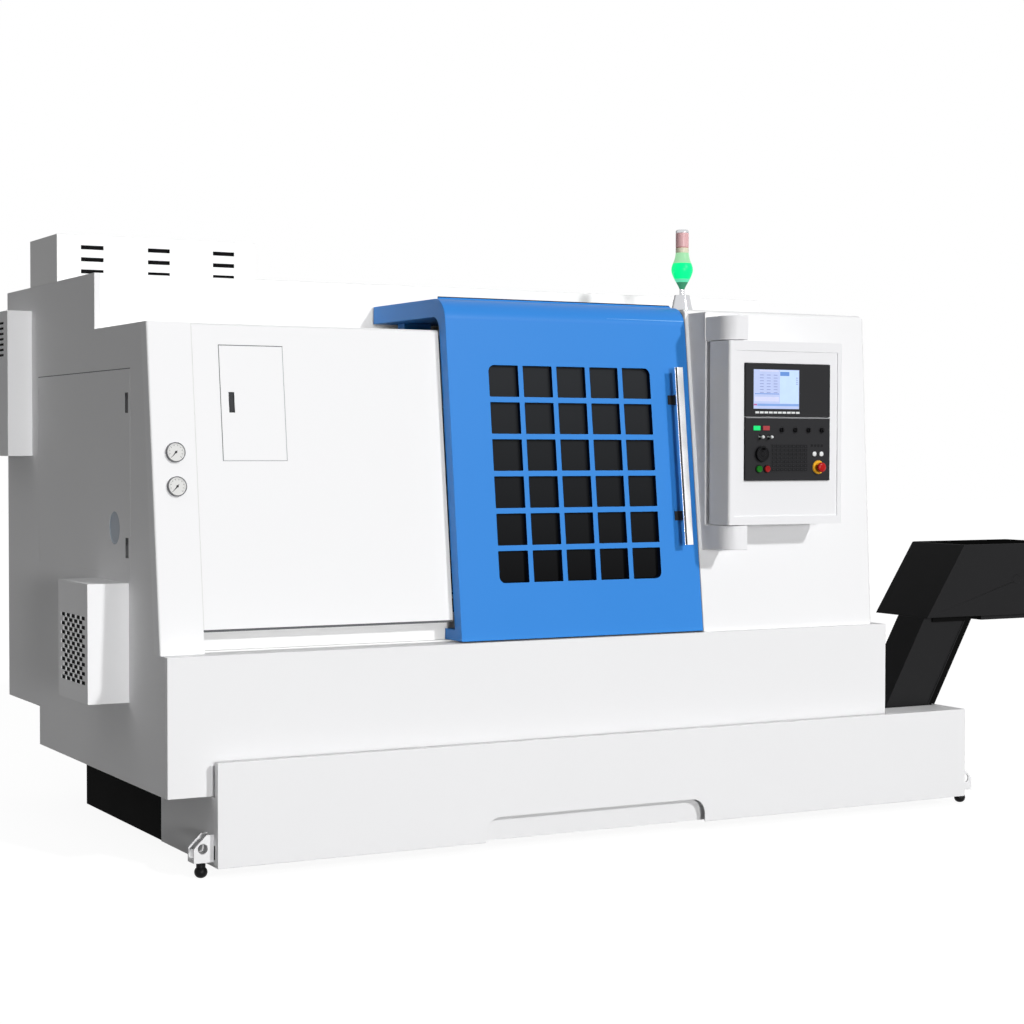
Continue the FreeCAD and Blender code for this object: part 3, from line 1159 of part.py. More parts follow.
def vent_cabinet():
    """Roof cabinet, open below, with three columns of long slots in its front."""
    body = new_body("vent_cabinet")
    add(body, "XY", "roof_top", "vent_top", rectangle("0", "vent_width", "vent_front", "vent_rear"))
    cut(body, "XY", "roof_top", "vent_top - vent_wall",
        rectangle("vent_wall", "vent_width - vent_wall", "vent_front + vent_wall",
                  "vent_rear - vent_wall"))
    slot = cut(body, "XZ", "vent_front", "vent_front + vent_wall",
               rectangle("slot_left", "slot_left + slot_width", "slot_top - slot_height", "slot_top"))
    repeat_grid(body, slot, ("X_Axis", "slot_columns", "slot_pitch", False),
                ("Z_Axis", "slot_rows", "slot_drop", True))


def pump_box():
    """Side box, open to the wall, with staggered slots in its outer face."""
    body = new_body("pump_box")
    add(body, "YZ", "-pump_reach", "0", rectangle("pump_front", "pump_back", "pump_bottom", "pump_top"))
    cut(body, "YZ", "pump_wall - pump_reach", "0",
        rectangle("pump_front + pump_wall", "pump_back - pump_wall", "pump_bottom + pump_wall",
                  "pump_top - pump_wall"))
    for shift, columns, rows in (("0", "hole_columns", "hole_rows"),
                                 ("1", "hole_columns - 1", "hole_rows - 1")):
        y = f"(hole_front + {shift} * hole_pitch / 2)"
        z = f"(hole_bottom + {shift} * hole_rise)"
        hole = cut(body, "YZ", "-pump_reach", "pump_wall - pump_reach",
                   rectangle(y, f"{y} + hole_width", z, f"{z} + hole_height"))
        repeat_grid(body, hole, ("Y_Axis", columns, "hole_pitch", False),
                    ("Z_Axis", rows, "2 * hole_rise", False))


def supply_box():
    """Box at the left rear, open to the wall, with a louvred field."""
    body = new_body("supply_box")
    add(body, "YZ", "-supply_reach", "0",
        rectangle("supply_front", "supply_back", "supply_bottom", "supply_top"))
    cut(body, "YZ", "pump_wall - supply_reach", "0",
        rectangle("supply_front + pump_wall", "supply_back - pump_wall",
                  "supply_bottom + pump_wall", "supply_top - pump_wall"))
    slot = cut(body, "YZ", "-supply_reach", "pump_wall - supply_reach",
               rectangle("louvre_front", "louvre_front + louvre_width", "louvre_bottom",
                         "louvre_bottom + louvre_height"))
    repeat_line(body, slot, "Z_Axis", "louvre_rows", "louvre_pitch")


def dial_gauges():
    """Two dial gauges on the leaning column: cup, raised rim and centre hub."""
    solids = []
    radius, rim, height = value("gauge_radius"), value("gauge_rim"), value("gauge_height")
    well, hub = value("gauge_height - gauge_recess"), value("gauge_hub / 2")
    corners = [(0, 0), (0, radius), (-height, radius), (-height, radius - rim),
               (-well, radius - rim), (-well, hub), (-height + 1, hub), (-height + 1, 0), (0, 0)]
    outline = Part.makePolygon([Vector(0, y, z) for y, z in corners])
    one = Part.Face(outline).revolve(Vector(), Vector(0, 1, 0), 360)
    for drop in (0, value("gauge_drop / cos(lean * 1 deg)")):
        gauge = one.copy()
        gauge.translate(Vector(0, 0, -drop))
        solids.append(gauge)
    pair = doc.addObject("Part::Feature", "dial_gauges")
    pair.Label = "dial_gauges"
    pair.Shape = Part.makeCompound(solids)
    place(pair, "gauge_x", panel_plane("gauge_z"), "gauge_z", tilt="-lean")


def stack_light():
    """Flanged cone, pole, lens modules with a groove between them, and cap, turned about Z."""
    body = new_body("stack_light", "light_x", "light_y", "cover_top")
    points = [("0", "0"), ("light_flange", "0"), ("light_flange", "light_flange_top"),
              ("light_pole", "light_cone_top"), ("light_pole", "light_pole_top"),
              ("light_lens", "light_lens_foot")]
    for i in range(1, int(SIZES["light_modules"])):
        level = f"(light_lens_foot + {i} * light_module)"
        points += [("light_lens", f"{level} - light_groove"),
                   ("light_lens - light_groove", f"{level} - light_groove"),
                   ("light_lens - light_groove", f"{level} + light_groove"),
                   ("light_lens", f"{level} + light_groove")]
    top = "(light_lens_foot + light_modules * light_module)"
    points += [("light_lens", top), ("light_cap", top), ("light_cap", f"{top} + light_cap_height"),
               ("0", f"{top} + light_cap_height")]
    turn(body, "XZ", "V_Axis", points)


# ---------------------------------------------------------------- chip conveyor


def conveyor_casing():
    """Trough and incline in one bent duct, open above the trough and at its upper end."""
    body = new_body("conveyor_casing")
    wall = "conveyor_wall"
    run = f"({wall} / sin(incline_angle * 1 deg))"

    def left(height):
        return incline_line(height)

    def right(height):
        return f"({incline_line(height)} + incline_width)"

    add(body, "XZ", "conveyor_front", "conveyor_back", [
        ("trough_left", TROUGH_FLOOR), (right(TROUGH_FLOOR), TROUGH_FLOOR),
        (right("hood_bottom"), "hood_bottom"), (left("hood_bottom"), "hood_bottom"),
        (left("trough_top"), "trough_top"), ("trough_left", "trough_top")])
    floor, ceiling = f"({TROUGH_FLOOR} + conveyor_wall)", "(trough_top - conveyor_wall)"
    cut(body, "XZ", f"conveyor_front + {wall}", f"conveyor_back - {wall}", [
        (f"trough_left + {wall}", floor), (f"{right(floor)} - {run}", floor),
        (f"{right('hood_bottom')} - {run}", "hood_bottom"),
        (f"{left('hood_bottom')} + {run}", "hood_bottom"), (f"{left(ceiling)} + {run}", ceiling),
        (f"trough_left + {wall}", ceiling)])
    cut(body, "XY", ceiling, "trough_top",
        rectangle(f"trough_left + {wall}", "trough_mouth_right", f"conveyor_front + {wall}",
                  f"conveyor_back - {wall}"))
    add(body, "XZ", "conveyor_front - conveyor_lip", "conveyor_back + conveyor_lip", [
        (right("flange_bottom"), "flange_bottom"),
        (f"{right('flange_bottom')} + conveyor_flange", "flange_bottom"),
        (f"{right('hood_bottom')} + conveyor_flange", "hood_bottom"),
        (right("hood_bottom"), "hood_bottom")])


def conveyor_hood():
    """Discharge hood over the upper end, with a bottom chute and bores for the drive shaft."""
    body = new_body("conveyor_hood")
    wall = "conveyor_wall"
    add(body, "XZ", "hood_front", "hood_back", [
        ("hood_left", "hood_bottom"), ("hood_right", "hood_bottom"), ("hood_right", "hood_top"),
        ("hood_left + hood_shift", "hood_top")])
    add(body, "XY", "hood_bottom - chute_drop", "hood_bottom",
        rectangle("chute_left", "chute_right", "hood_front + chute_inset", "hood_back - chute_inset"))
    cut(body, "XZ", f"hood_front + {wall}", f"hood_back - {wall}", [
        (f"hood_left + 2 * {wall}", f"hood_bottom + {wall}"),
        (f"hood_right - {wall}", f"hood_bottom + {wall}"),
        (f"hood_right - {wall}", f"hood_top - {wall}"),
        (f"hood_left + hood_shift + {wall}", f"hood_top - {wall}")])
    cut(body, "XY", "hood_bottom - chute_drop", f"hood_bottom + {wall}",
        rectangle(f"chute_left + {wall}", f"chute_right - {wall}",
                  f"hood_front + chute_inset + {wall}", f"hood_back - chute_inset - {wall}"))
    entry = incline_line("hood_bottom")
    cut(body, "XY", "hood_bottom", f"hood_bottom + {wall}",
        rectangle(f"{entry} + 3 * {wall}", f"{entry} + incline_width - 2 * {wall}",
                  f"conveyor_front + {wall}", f"conveyor_back - {wall}"))
    cut(body, "XZ", "hood_front", "hood_back",
        ("circle", "drive_x", "drive_z", "drive_shaft + pin_play"))


def conveyor_shaft():
    """Head shaft with two chain discs, turned about Y."""
    body = new_body("conveyor_shaft", "drive_x", "hood_front", "drive_z")
    length = "(hood_back - hood_front)"
    near, far = "(conveyor_front - hood_front + drive_disc_width)", \
        "(conveyor_back - hood_front - 2 * drive_disc_width)"
    turn(body, "YZ", "H_Axis", [
        ("seat_gap", "0"), ("seat_gap", "drive_shaft"), (near, "drive_shaft"), (near, "drive_disc"),
        (f"{near} + drive_disc_width", "drive_disc"), (f"{near} + drive_disc_width", "drive_shaft"),
        (far, "drive_shaft"), (far, "drive_disc"), (f"{far} + drive_disc_width", "drive_disc"),
        (f"{far} + drive_disc_width", "drive_shaft"), (length, "drive_shaft"), (length, "0")])


def conveyor_gearmotor():
    """Flange gearbox and motor behind the hood."""
    body = new_body("conveyor_gearmotor", "drive_x", "hood_back", "drive_z")
    end = "(gearbox_length + drive_motor_length)"
    turn(body, "YZ", "H_Axis", [
        ("seat_gap", "0"), ("seat_gap", "gearbox_radius"),
        ("gearbox_length", "gearbox_radius", "pulley_groove"),
        ("gearbox_length", "drive_motor_radius"), (end, "drive_motor_radius", "pulley_groove"),
        (end, "0")])


BUILDERS = [
    left_side_wall, service_door, mid_skirt, corner_column, left_front_panel, hatch_door, door_sill,
    front_roof, door_top_rail, roof_box, rear_shell, right_cover, chamber_liner, coolant_tank,
    tank_ball_feet, tank_front_skirt, machine_bed, levelling_feet, guide_set, headstock, spindle,
    chuck_body, chuck_jaws, spindle_motor, motor_pulley, drive_belt, carriage, cross_slide,
    turret_disc, tailstock_body, tailstock_quill, live_centre, door_shell, door_glass, door_handle,
    pendant_post, pendant_housing, screen_unit, operator_panel, push_controls, handwheel,
    selector_knobs, lever_switches, vent_cabinet, pump_box, supply_box, dial_gauges, stack_light,
    conveyor_casing, conveyor_hood, conveyor_shaft, conveyor_gearmotor,
]


def sub_parts():
    return [thing for thing in doc.Objects
            if thing.TypeId in ("PartDesign::Body", "Part::Feature")]


def check_model():
    for thing in doc.Objects:
        if {"Invalid", "Error"} & set(thing.State):
            raise RuntimeError(f"{thing.Name} failed: {thing.State}")
    for part in sub_parts():
        if part.Shape.isNull() or not part.Shape.isValid():
            raise RuntimeError(f"{part.Label} has no valid shape")


def main():
    for builder in BUILDERS:
        builder()
    doc.recompute()
    check_model()
    os.makedirs("parts", exist_ok=True)
    for part in sub_parts():
        part.Shape.exportStep(f"parts/{part.Label}.step")
    print(len(sub_parts()), "sub-parts written")


main()
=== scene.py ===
"""Looks of an enclosed slant-bed turning lathe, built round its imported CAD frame.

Sizes are in millimetres in the machine's own frame: X from the left side plane to the right, Y from the
skirt's front to the back, Z up from the floor. Meshes are made in metres in the row frame.
"""
from __future__ import annotations

import json
import logging
import math
from dataclasses import dataclass
from enum import Enum
from typing import Sequence

import bmesh
import bpy
from bpy.types import ID, Material, Mesh, Node, NodeTree, Object
from mathutils import Matrix, Vector

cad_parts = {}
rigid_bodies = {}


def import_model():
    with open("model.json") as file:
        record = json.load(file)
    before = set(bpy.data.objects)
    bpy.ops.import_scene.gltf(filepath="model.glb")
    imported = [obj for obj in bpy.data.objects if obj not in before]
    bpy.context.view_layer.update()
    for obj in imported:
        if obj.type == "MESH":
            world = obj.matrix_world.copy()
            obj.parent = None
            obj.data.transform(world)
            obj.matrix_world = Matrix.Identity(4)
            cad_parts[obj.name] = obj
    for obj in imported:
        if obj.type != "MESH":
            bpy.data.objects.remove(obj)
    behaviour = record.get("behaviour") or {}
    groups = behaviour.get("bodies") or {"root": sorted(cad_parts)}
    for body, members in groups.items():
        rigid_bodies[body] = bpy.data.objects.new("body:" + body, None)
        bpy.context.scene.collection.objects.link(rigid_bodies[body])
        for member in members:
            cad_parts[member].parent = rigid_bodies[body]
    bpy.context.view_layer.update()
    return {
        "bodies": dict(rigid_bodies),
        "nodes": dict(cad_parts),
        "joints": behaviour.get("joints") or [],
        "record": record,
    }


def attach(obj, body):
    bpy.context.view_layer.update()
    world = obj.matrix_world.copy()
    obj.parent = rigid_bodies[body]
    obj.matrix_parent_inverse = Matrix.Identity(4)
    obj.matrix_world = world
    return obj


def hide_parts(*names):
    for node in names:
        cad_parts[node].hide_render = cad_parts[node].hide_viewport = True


LOG = logging.getLogger("lathe")
MM = 0.001
CENTRE = Vector((2023.0, 932.0, 0.0))
LEAN = math.radians(6.76)
SKIRT_TOP = 776.0
DOOR_FOOT = 14.5
PANEL_FOOT = 74.0
UNIT_FACE = -134.0
SHARP = 32.0
SHARP_SKIN = 46.0
NORMAL_WEIGHT = 90
FOLD_ANGLE = 40.0
FOLD_STEPS = 2
WELD = 2e-5
METAL = 0.5
GRAIN_DEPTH = 0.0004
TO_FRONT = (math.pi / 2, 0, 0)
TO_BACK = (-math.pi / 2, 0, 0)

Point = Sequence[float]
Pair = tuple[float, float]
Triple = tuple[float, float, float]
Quad = tuple[float, float, float, float]


class Axis(Enum):
    """World axis that a shape is turned about or drawn along."""

    X = 0
    Y = 1
    Z = 2

    def point(self, place: float, u: float, v: float) -> Vector:
        """Makes a point from its place along the axis.

        Args:
            place: distance along the axis.
            u: first of the two other coordinates, in world order.
            v: second of them.

        Returns:
            The point.
        """
        spot = [u, v]
        spot.insert(self.value, place)
        return Vector(spot)


@dataclass(frozen=True)
class Skin:
    """A painted, moulded or machined skin. Its specular level counts where it isn't metal."""

    label: str
    colour: tuple[int, int, int]
    roughness: float
    metal: float
    grain: float
    blotch: float
    specular: float


class Finish(Enum):
    """Every skin on the machine: name, colour, roughness, metal, grain, blotch, specular level."""

    WHITE = Skin("white_paint", (246, 246, 247), 0.42, 0.0, 0.10, 0.012, 0.12)
    ROOF = Skin("roof_paint", (252, 252, 252), 0.42, 0.0, 0.10, 0.01, 0.12)
    SKIRT = Skin("light_grey_paint", (242, 242, 243), 0.45, 0.0, 0.12, 0.014, 0.12)
    BLUE = Skin("blue_paint", (52, 137, 222), 0.38, 0.0, 0.10, 0.02, 0.2)
    PENDANT = Skin("pendant_paint", (243, 243, 245), 0.40, 0.0, 0.08, 0.012, 0.2)
    BLACK = Skin("black_paint", (35, 35, 36), 0.42, 0.0, 0.16, 0.06, 0.06)
    # A darker black without gloss, used as painted shade: the shadow band under the conveyor's hood, its
    # shaded top and the strip along the incline.
    BLACK_PAINTED_SHADE = Skin("black_painted_shade", (20, 20, 20), 0.5, 0.0, 0.16, 0.06, 0.0)
    BED = Skin("cast_base", (8, 8, 8), 0.8, 0.0, 0.5, 0.15, 0.02)
    PANEL_PLASTIC = Skin("dark_plastic", (44, 44, 46), 0.42, 0.0, 0.25, 0.05, 0.1)
    GROUND = Skin("ground_steel", (196, 198, 202), 0.26, 1.0, 0.12, 0.04, 0.2)
    CHUCK = Skin("chuck_steel", (150, 152, 156), 0.30, 1.0, 0.15, 0.06, 0.2)
    SLIDE = Skin("slide_iron", (112, 118, 124), 0.48, 0.0, 0.4, 0.08, 0.2)
    FOOT = Skin("foot_steel", (24, 24, 25), 0.35, 0.3, 0.2, 0.05, 0.1)
    MOTOR = Skin("motor_paint", (66, 72, 78), 0.45, 0.0, 0.3, 0.06, 0.2)
    BELT = Skin("belt_rubber", (22, 22, 22), 0.75, 0.0, 0.4, 0.1, 0.1)
    LINER = Skin("liner_steel", (200, 203, 206), 0.42, 0.0, 0.1, 0.05, 0.2)
    BLACK_LATCH = Skin("latch_black", (54, 55, 58), 0.38, 0.0, 0.15, 0.03, 0.1)
    CHROME = Skin("gauge_chrome", (214, 215, 218), 0.12, 1.0, 0.03, 0.01, 0.2)
    SATIN = Skin("handle_steel", (250, 250, 252), 0.24, 1.0, 0.06, 0.02, 0.2)
    DIAL = Skin("dial_white", (226, 226, 224), 0.5, 0.0, 0.03, 0.01, 0.2)
    BEZEL = Skin("gauge_bezel", (112, 113, 116), 0.3, 0.0, 0.05, 0.02, 0.2)
    # The two seam finishes are painted light: the grey one is painted shade in shaded joints and under the
    # left panel, the pale one painted light on lit joints.
    SEAM = Skin("seam_painted_shade", (104, 105, 108), 0.6, 0.0, 0.05, 0.02, 0.05)
    SEAM_PAINTED_LIGHT = Skin("seam_painted_light", (186, 187, 190), 0.6, 0.0, 0.05, 0.02, 0.05)
    # Dark blue painted shade: the walls of the door window's openings and the line along the door's top.
    BLUE_PAINTED_SHADE = Skin("door_painted_shade", (16, 30, 56), 0.6, 0.0, 0.1, 0.03, 0.02)
    # A pale blue painted highlight where the door's top starts to roll.
    BLUE_PAINTED_HIGHLIGHT = Skin("door_painted_highlight", (126, 188, 248), 0.35, 0.0, 0.05, 0.02, 0.2)
    INK = Skin("dial_ink", (40, 40, 42), 0.5, 0.0, 0.03, 0.01, 0.1)
    PORT = Skin("port_cover", (168, 178, 190), 0.4, 0.0, 0.1, 0.03, 0.2)
    # Dark backing behind slots and louvres: painted shade for the dark inside of the boxes.
    FILTER = Skin("slot_painted_shade", (14, 14, 15), 0.9, 0.0, 0.8, 0.2, 0.1)
    KEY = Skin("key_black", (28, 28, 30), 0.45, 0.0, 0.2, 0.04, 0.1)
    KEY_PRINT = Skin("key_print", (62, 63, 66), 0.5, 0.0, 0.05, 0.02, 0.1)
    KEY_MARK = Skin("key_mark", (176, 178, 182), 0.5, 0.0, 0.05, 0.02, 0.2)
    KNOB = Skin("knob_black", (24, 24, 26), 0.35, 0.0, 0.15, 0.04, 0.1)
    YELLOW = Skin("stop_yellow", (248, 184, 48), 0.35, 0.0, 0.05, 0.02, 0.2)
    RED = Skin("stop_red", (184, 10, 10), 0.28, 0.0, 0.05, 0.03, 0.2)
    RED_CAP = Skin("hold_red", (152, 16, 18), 0.3, 0.0, 0.05, 0.03, 0.2)
    ALARM = Skin("alarm_red", (176, 72, 76), 0.4, 0.0, 0.05, 0.03, 0.1)
    LAMP_WHITE = Skin("lamp_white", (236, 238, 238), 0.35, 0.0, 0.03, 0.01, 0.2)
    RED_LENS = Skin("lens_red", (234, 186, 188), 0.3, 0.0, 0.03, 0.03, 0.2)
    AMBER_LENS = Skin("lens_amber", (232, 226, 200), 0.3, 0.0, 0.03, 0.03, 0.2)

    @property
    def label(self) -> str:
        """Name of the material."""
        return self.value.label


@dataclass(frozen=True)
class Glow:
    """A lit surface. Its unlit base and the dim side of its colour are shares of that colour."""

    label: str
    colour: tuple[int, int, int]
    strength: float
    base: float = 0.3
    dim: float = 0.9
    grain: float = 40.0
    roughness: float = 0.35
    specular: float = 0.15


@dataclass(frozen=True)
class Glass:
    """Opaque dark glass: its near-black is painted shade of the chamber behind it, and its paling towards its
    top is painted light. Its heights are in metres above the floor.
    """

    label: str
    dark: tuple[int, int, int]
    pale: tuple[int, int, int]
    dark_below: float
    pale_above: float
    roughness: Pair
    haze: float
    specular: float


GREEN_GLOW = Glow("lens_green_lit", (4, 250, 146), 0.95)
GREEN_PALE = Glow("lens_green_pale", (176, 240, 186), 0.7)
# A paler glowing ring on the lit bulb: painted highlight.
GREEN_HIGHLIGHT = Glow("lens_green_highlight", (112, 240, 190), 0.75)
GREEN_FOOT = Glow("lens_green_foot", (84, 184, 140), 0.4)
GREEN_LAMP = Glow("lamp_green_lit", (34, 236, 128), 0.8)
GREEN_BUTTON = Glow("button_green", (18, 134, 24), 0.3)
SCREEN_GLOW = Glow("screen_lit", (198, 212, 252), 0.74)
SCREEN_HEAD = Glow("screen_header", (112, 156, 228), 0.72)
SCREEN_TABLE = Glow("screen_table", (216, 220, 250), 0.8)
SCREEN_SIDE = Glow("screen_side", (200, 224, 254), 0.84)
SCREEN_FOOT = Glow("screen_footer", (140, 176, 236), 0.74)
SCREEN_LINE = Glow("screen_line", (150, 164, 220), 0.68)
SCREEN_ALERT = Glow("screen_alert", (206, 110, 176), 0.62)
# The door's window: painted shade below, painted light towards the top.
WINDOW = Glass("window_glass", (2, 2, 3), (46, 48, 51), 0.95, 1.85, (0.04, 0.12), 6.0, 0.08)

Look = Finish | Glow


def srgb(colour: Sequence[float]) -> Quad:
    """Turns an 8-bit display colour into a linear one.

    Args:
        colour: red, green and blue from 0 to 255.

    Returns:
        Linear red, green, blue and an alpha of 1.
    """
    linear = [c / 255 / 12.92 if c / 255 <= 0.04045 else ((c / 255 + 0.055) / 1.055) ** 2.4 for c in colour]
    return (*linear, 1.0)


def row(x: float, y: float, z: float) -> Vector:
    """A machine point in millimetres as a row-frame point in metres."""
    return (Vector((x, y, z)) - CENTRE) * MM


def leaning(foot: float) -> Matrix:
    """Frame of a leaning front whose foot stands at a depth at the skirt's top, local Y into the machine."""
    return Matrix.Translation((0, foot, SKIRT_TOP)) @ Matrix.Rotation(-LEAN, 4, "X")


def along(height: float) -> float:
    """Distance up a leaning front for a height above the floor."""
    return (height - SKIRT_TOP) / math.cos(LEAN)


def capped(*rings: Point) -> list[Point]:
    """Rings of a turned body, closed flat at both ends."""
    return [(rings[0][0], 0), *rings, (rings[-1][0], 0)]


def placed(name: str, data: ID) -> Object:
    """Makes an object and links it into the scene.

    Args:
        name: its name.
        data: its mesh, camera or lamp.

    Returns:
        The object.
    """
    made = bpy.data.objects.new(name, data)
    bpy.context.scene.collection.objects.link(made)
    return made


class Shape:
    """A mesh under construction, in millimetres, with helpers for the forms used here."""

    def __init__(self, frame: Matrix | None = None) -> None:
        """Starts an empty shape.

        Args:
            frame: matrix from the shape's own millimetres to the machine's.
        """
        self.bm = bmesh.new()
        self.frame = frame or Matrix.Identity(4)

    def block(self, low: Point, high: Point, bevel: float = 0.0) -> "Shape":
        """Adds a box, its edges rounded by bevel.

        Args:
            low: lowest corner.
            high: highest corner.
            bevel: radius of the rounded edges.

        Returns:
            The shape itself.
        """
        made = bmesh.ops.create_cube(self.bm, size=1.0)["verts"]
        size = Vector(high) - Vector(low)
        middle = (Vector(high) + Vector(low)) / 2
        for vert in made:
            vert.co = Vector((vert.co.x * size.x, vert.co.y * size.y, vert.co.z * size.z)) + middle
        if bevel:
            self._bevel(made, bevel)
        return self

    def _bevel(self, verts: list, width: float) -> None:
        """Rounds every edge between the given vertices.

        Args:
            verts: the vertices.
            width: radius of the rounding.
        """
        chosen = set(verts)
        edges = [e for e in self.bm.edges if e.verts[0] in chosen and e.verts[1] in chosen]
        bmesh.ops.bevel(self.bm, geom=edges, offset=width, segments=FOLD_STEPS, profile=0.5,
                affect="EDGES", clamp_overlap=True)

    def prism(self, outline: Sequence[Point], axis: Axis, low: float, high: float,
            bevel: float = 0.0) -> "Shape":
        """Adds a straight bar with a polygon section.

        Args:
            outline: section's corners in the two other axes, in world order.
            axis: direction of the bar.
            low: start along the axis.
            high: end along the axis.
            bevel: radius of all its edges.

        Returns:
            The shape itself.
        """
        first, last = ([self.bm.verts.new(axis.point(place, u, v)) for u, v in outline]
                for place in (low, high))
        count = len(outline)
        faces = [self.bm.faces.new(first), self.bm.faces.new(last)]
        faces += [self.bm.faces.new((first[i], first[(i + 1) % count], last[(i + 1) % count], last[i]))
                for i in range(count)]
        bmesh.ops.recalc_face_normals(self.bm, faces=faces)
        if bevel:
            self._bevel(first + last, bevel)
        return self

    def turned(self, profile: Sequence[Point], axis: Axis, centre: Point, steps: int) -> "Shape":
        """Adds a body of revolution.

        Args:
            profile: pairs of place along the axis and radius, closed at the axis by radius 0.
            axis: the axis it spins about.
            centre: a point on that axis, from which the places count.
            steps: facets round.

        Returns:
            The shape itself.
        """
        rings = []
        for place, radius in profile:
            angles = [math.tau * i / steps for i in range(1 if radius == 0 else steps)]
            rings.append([self.bm.verts.new(axis.point(place, radius * math.cos(a), radius * math.sin(a))
                    + Vector(centre)) for a in angles])
        faces = []
        for one, two in zip(rings, rings[1:]):
            for i in range(steps):
                corners = dict.fromkeys((one[i % len(one)], one[(i + 1) % len(one)],
                        two[(i + 1) % len(two)], two[i % len(two)]))
                if len(corners) > 2:
                    faces.append(self.bm.faces.new(list(corners)))
        bmesh.ops.recalc_face_normals(self.bm, faces=faces)
        return self

    def mesh(self, name: str, sharp: float = SHARP) -> Mesh:
        """Finishes the shape as a mesh in the row frame.

        Args:
            name: name of the mesh.
            sharp: edges that turn by more degrees than this stay sharp.

        Returns:
            The mesh in metres.
        """
        scale = Matrix.Diagonal((MM, MM, MM, 1.0))
        self.bm.transform(scale @ Matrix.Translation(-CENTRE) @ self.frame)
        made = bpy.data.meshes.new(name)
        self.bm.to_mesh(made)
        self.bm.free()
        return shaded(made, sharp)


def shaded(mesh: Mesh, sharp: float) -> Mesh:
    """Shades a mesh smooth, its large faces flat and its small roundings turning between them.

    Args:
        mesh: the mesh, which is used up.
        sharp: edges that turn by more degrees than this stay sharp.

    Returns:
        A plain mesh of the same name with its own normals.
    """
    name = mesh.name
    mesh.shade_smooth()
    mesh.set_sharp_from_angle(angle=math.radians(sharp))
    holder = placed(name, mesh)
    weighted = holder.modifiers.new("weighted", "WEIGHTED_NORMAL")
    weighted.keep_sharp = True
    weighted.weight = NORMAL_WEIGHT
    view = bpy.context.evaluated_depsgraph_get()
    made = bpy.data.meshes.new_from_object(holder.evaluated_get(view))
    bpy.data.objects.remove(holder)
    bpy.data.meshes.remove(mesh)
    made.name = name
    return made


class Wiring:
    """Makes a tree's nodes with their values, and links them."""

    def __init__(self, tree: NodeTree) -> None:
        """Keeps the tree."""
        self.tree = tree

    def node(self, kind: str, inputs: dict | None = None, **settings: object) -> Node:
        """Makes a node.

        Args:
            kind: its type.
            inputs: values of its inputs, by name or number.
            settings: its other properties, which are set first.

        Returns:
            The node.
        """
        made = self.tree.nodes.new(kind)
        for name, value in settings.items():
            setattr(made, name, value)
        for name, value in (inputs or {}).items():
            made.inputs[name].default_value = value
        return made

    def math(self, operation: str, inputs: dict | None = None) -> Node:
        """Makes a math node."""
        return self.node("ShaderNodeMath", inputs, operation=operation)

    def blend(self, one: Point | None = None, two: Point | None = None) -> Node:
        """Makes a node that blends two colours."""
        inputs = {key: value for key, value in (("A", one), ("B", two)) if value is not None}
        return self.node("ShaderNodeMix", inputs, data_type="RGBA")

    def join(self, *routes: tuple) -> None:
        """Links nodes. A route is a node, its output, the next node and that one's input."""
        for source, output, target, entry in routes:
            self.tree.links.new(source.outputs[output], target.inputs[entry])


def surface_group(name: str, stretch: Point, fine: float, slow: Point, wander: float) -> NodeTree:
    """Shader group that gives a finish its grain and slow blotches, as colour, roughness and height.

    Args:
        name: name of the group.
        stretch: how close the grain lies along each axis.
        fine: scale of the grain.
        slow: scale and detail of the blotches.
        wander: how far the blotches carry the roughness.

    Returns:
        The group.
    """
    tree = bpy.data.node_groups.new(name, "ShaderNodeTree")
    for side, label, kind in (("INPUT", "Place", "Vector"), ("INPUT", "Colour", "Color"),
            ("INPUT", "Blotch", "Float"), ("INPUT", "Gloss", "Float"),
            ("OUTPUT", "Colour", "Color"), ("OUTPUT", "Roughness", "Float"),
            ("OUTPUT", "Height", "Float")):
        tree.interface.new_socket(name=label, in_out=side, socket_type=f"NodeSocket{kind}")
    wiring = Wiring(tree)
    start, end = wiring.node("NodeGroupInput"), wiring.node("NodeGroupOutput")
    spread = wiring.node("ShaderNodeVectorMath", {1: stretch}, operation="MULTIPLY")
    grain = wiring.node("ShaderNodeTexNoise", {"Scale": fine})
    blotch = wiring.node("ShaderNodeTexNoise", {"Scale": slow[0], "Detail": slow[1]})
    shift = wiring.math("SUBTRACT", {1: 0.5})
    amount = wiring.math("MULTIPLY_ADD", {2: 1.0})
    tint = wiring.node("ShaderNodeVectorMath", operation="SCALE")
    rough = wiring.math("MULTIPLY_ADD", {1: wander})
    wiring.join((start, "Place", spread, 0), (spread, 0, grain, "Vector"), (start, "Place", blotch, "Vector"),
            (blotch, "Fac", shift, 0), (shift, 0, amount, 0), (start, "Blotch", amount, 1),
            (start, "Colour", tint, 0), (amount, 0, tint, "Scale"), (tint, 0, end, "Colour"),
            (shift, 0, rough, 0), (start, "Gloss", rough, 2), (rough, 0, end, "Roughness"),
            (grain, "Fac", end, "Height"))
    return tree


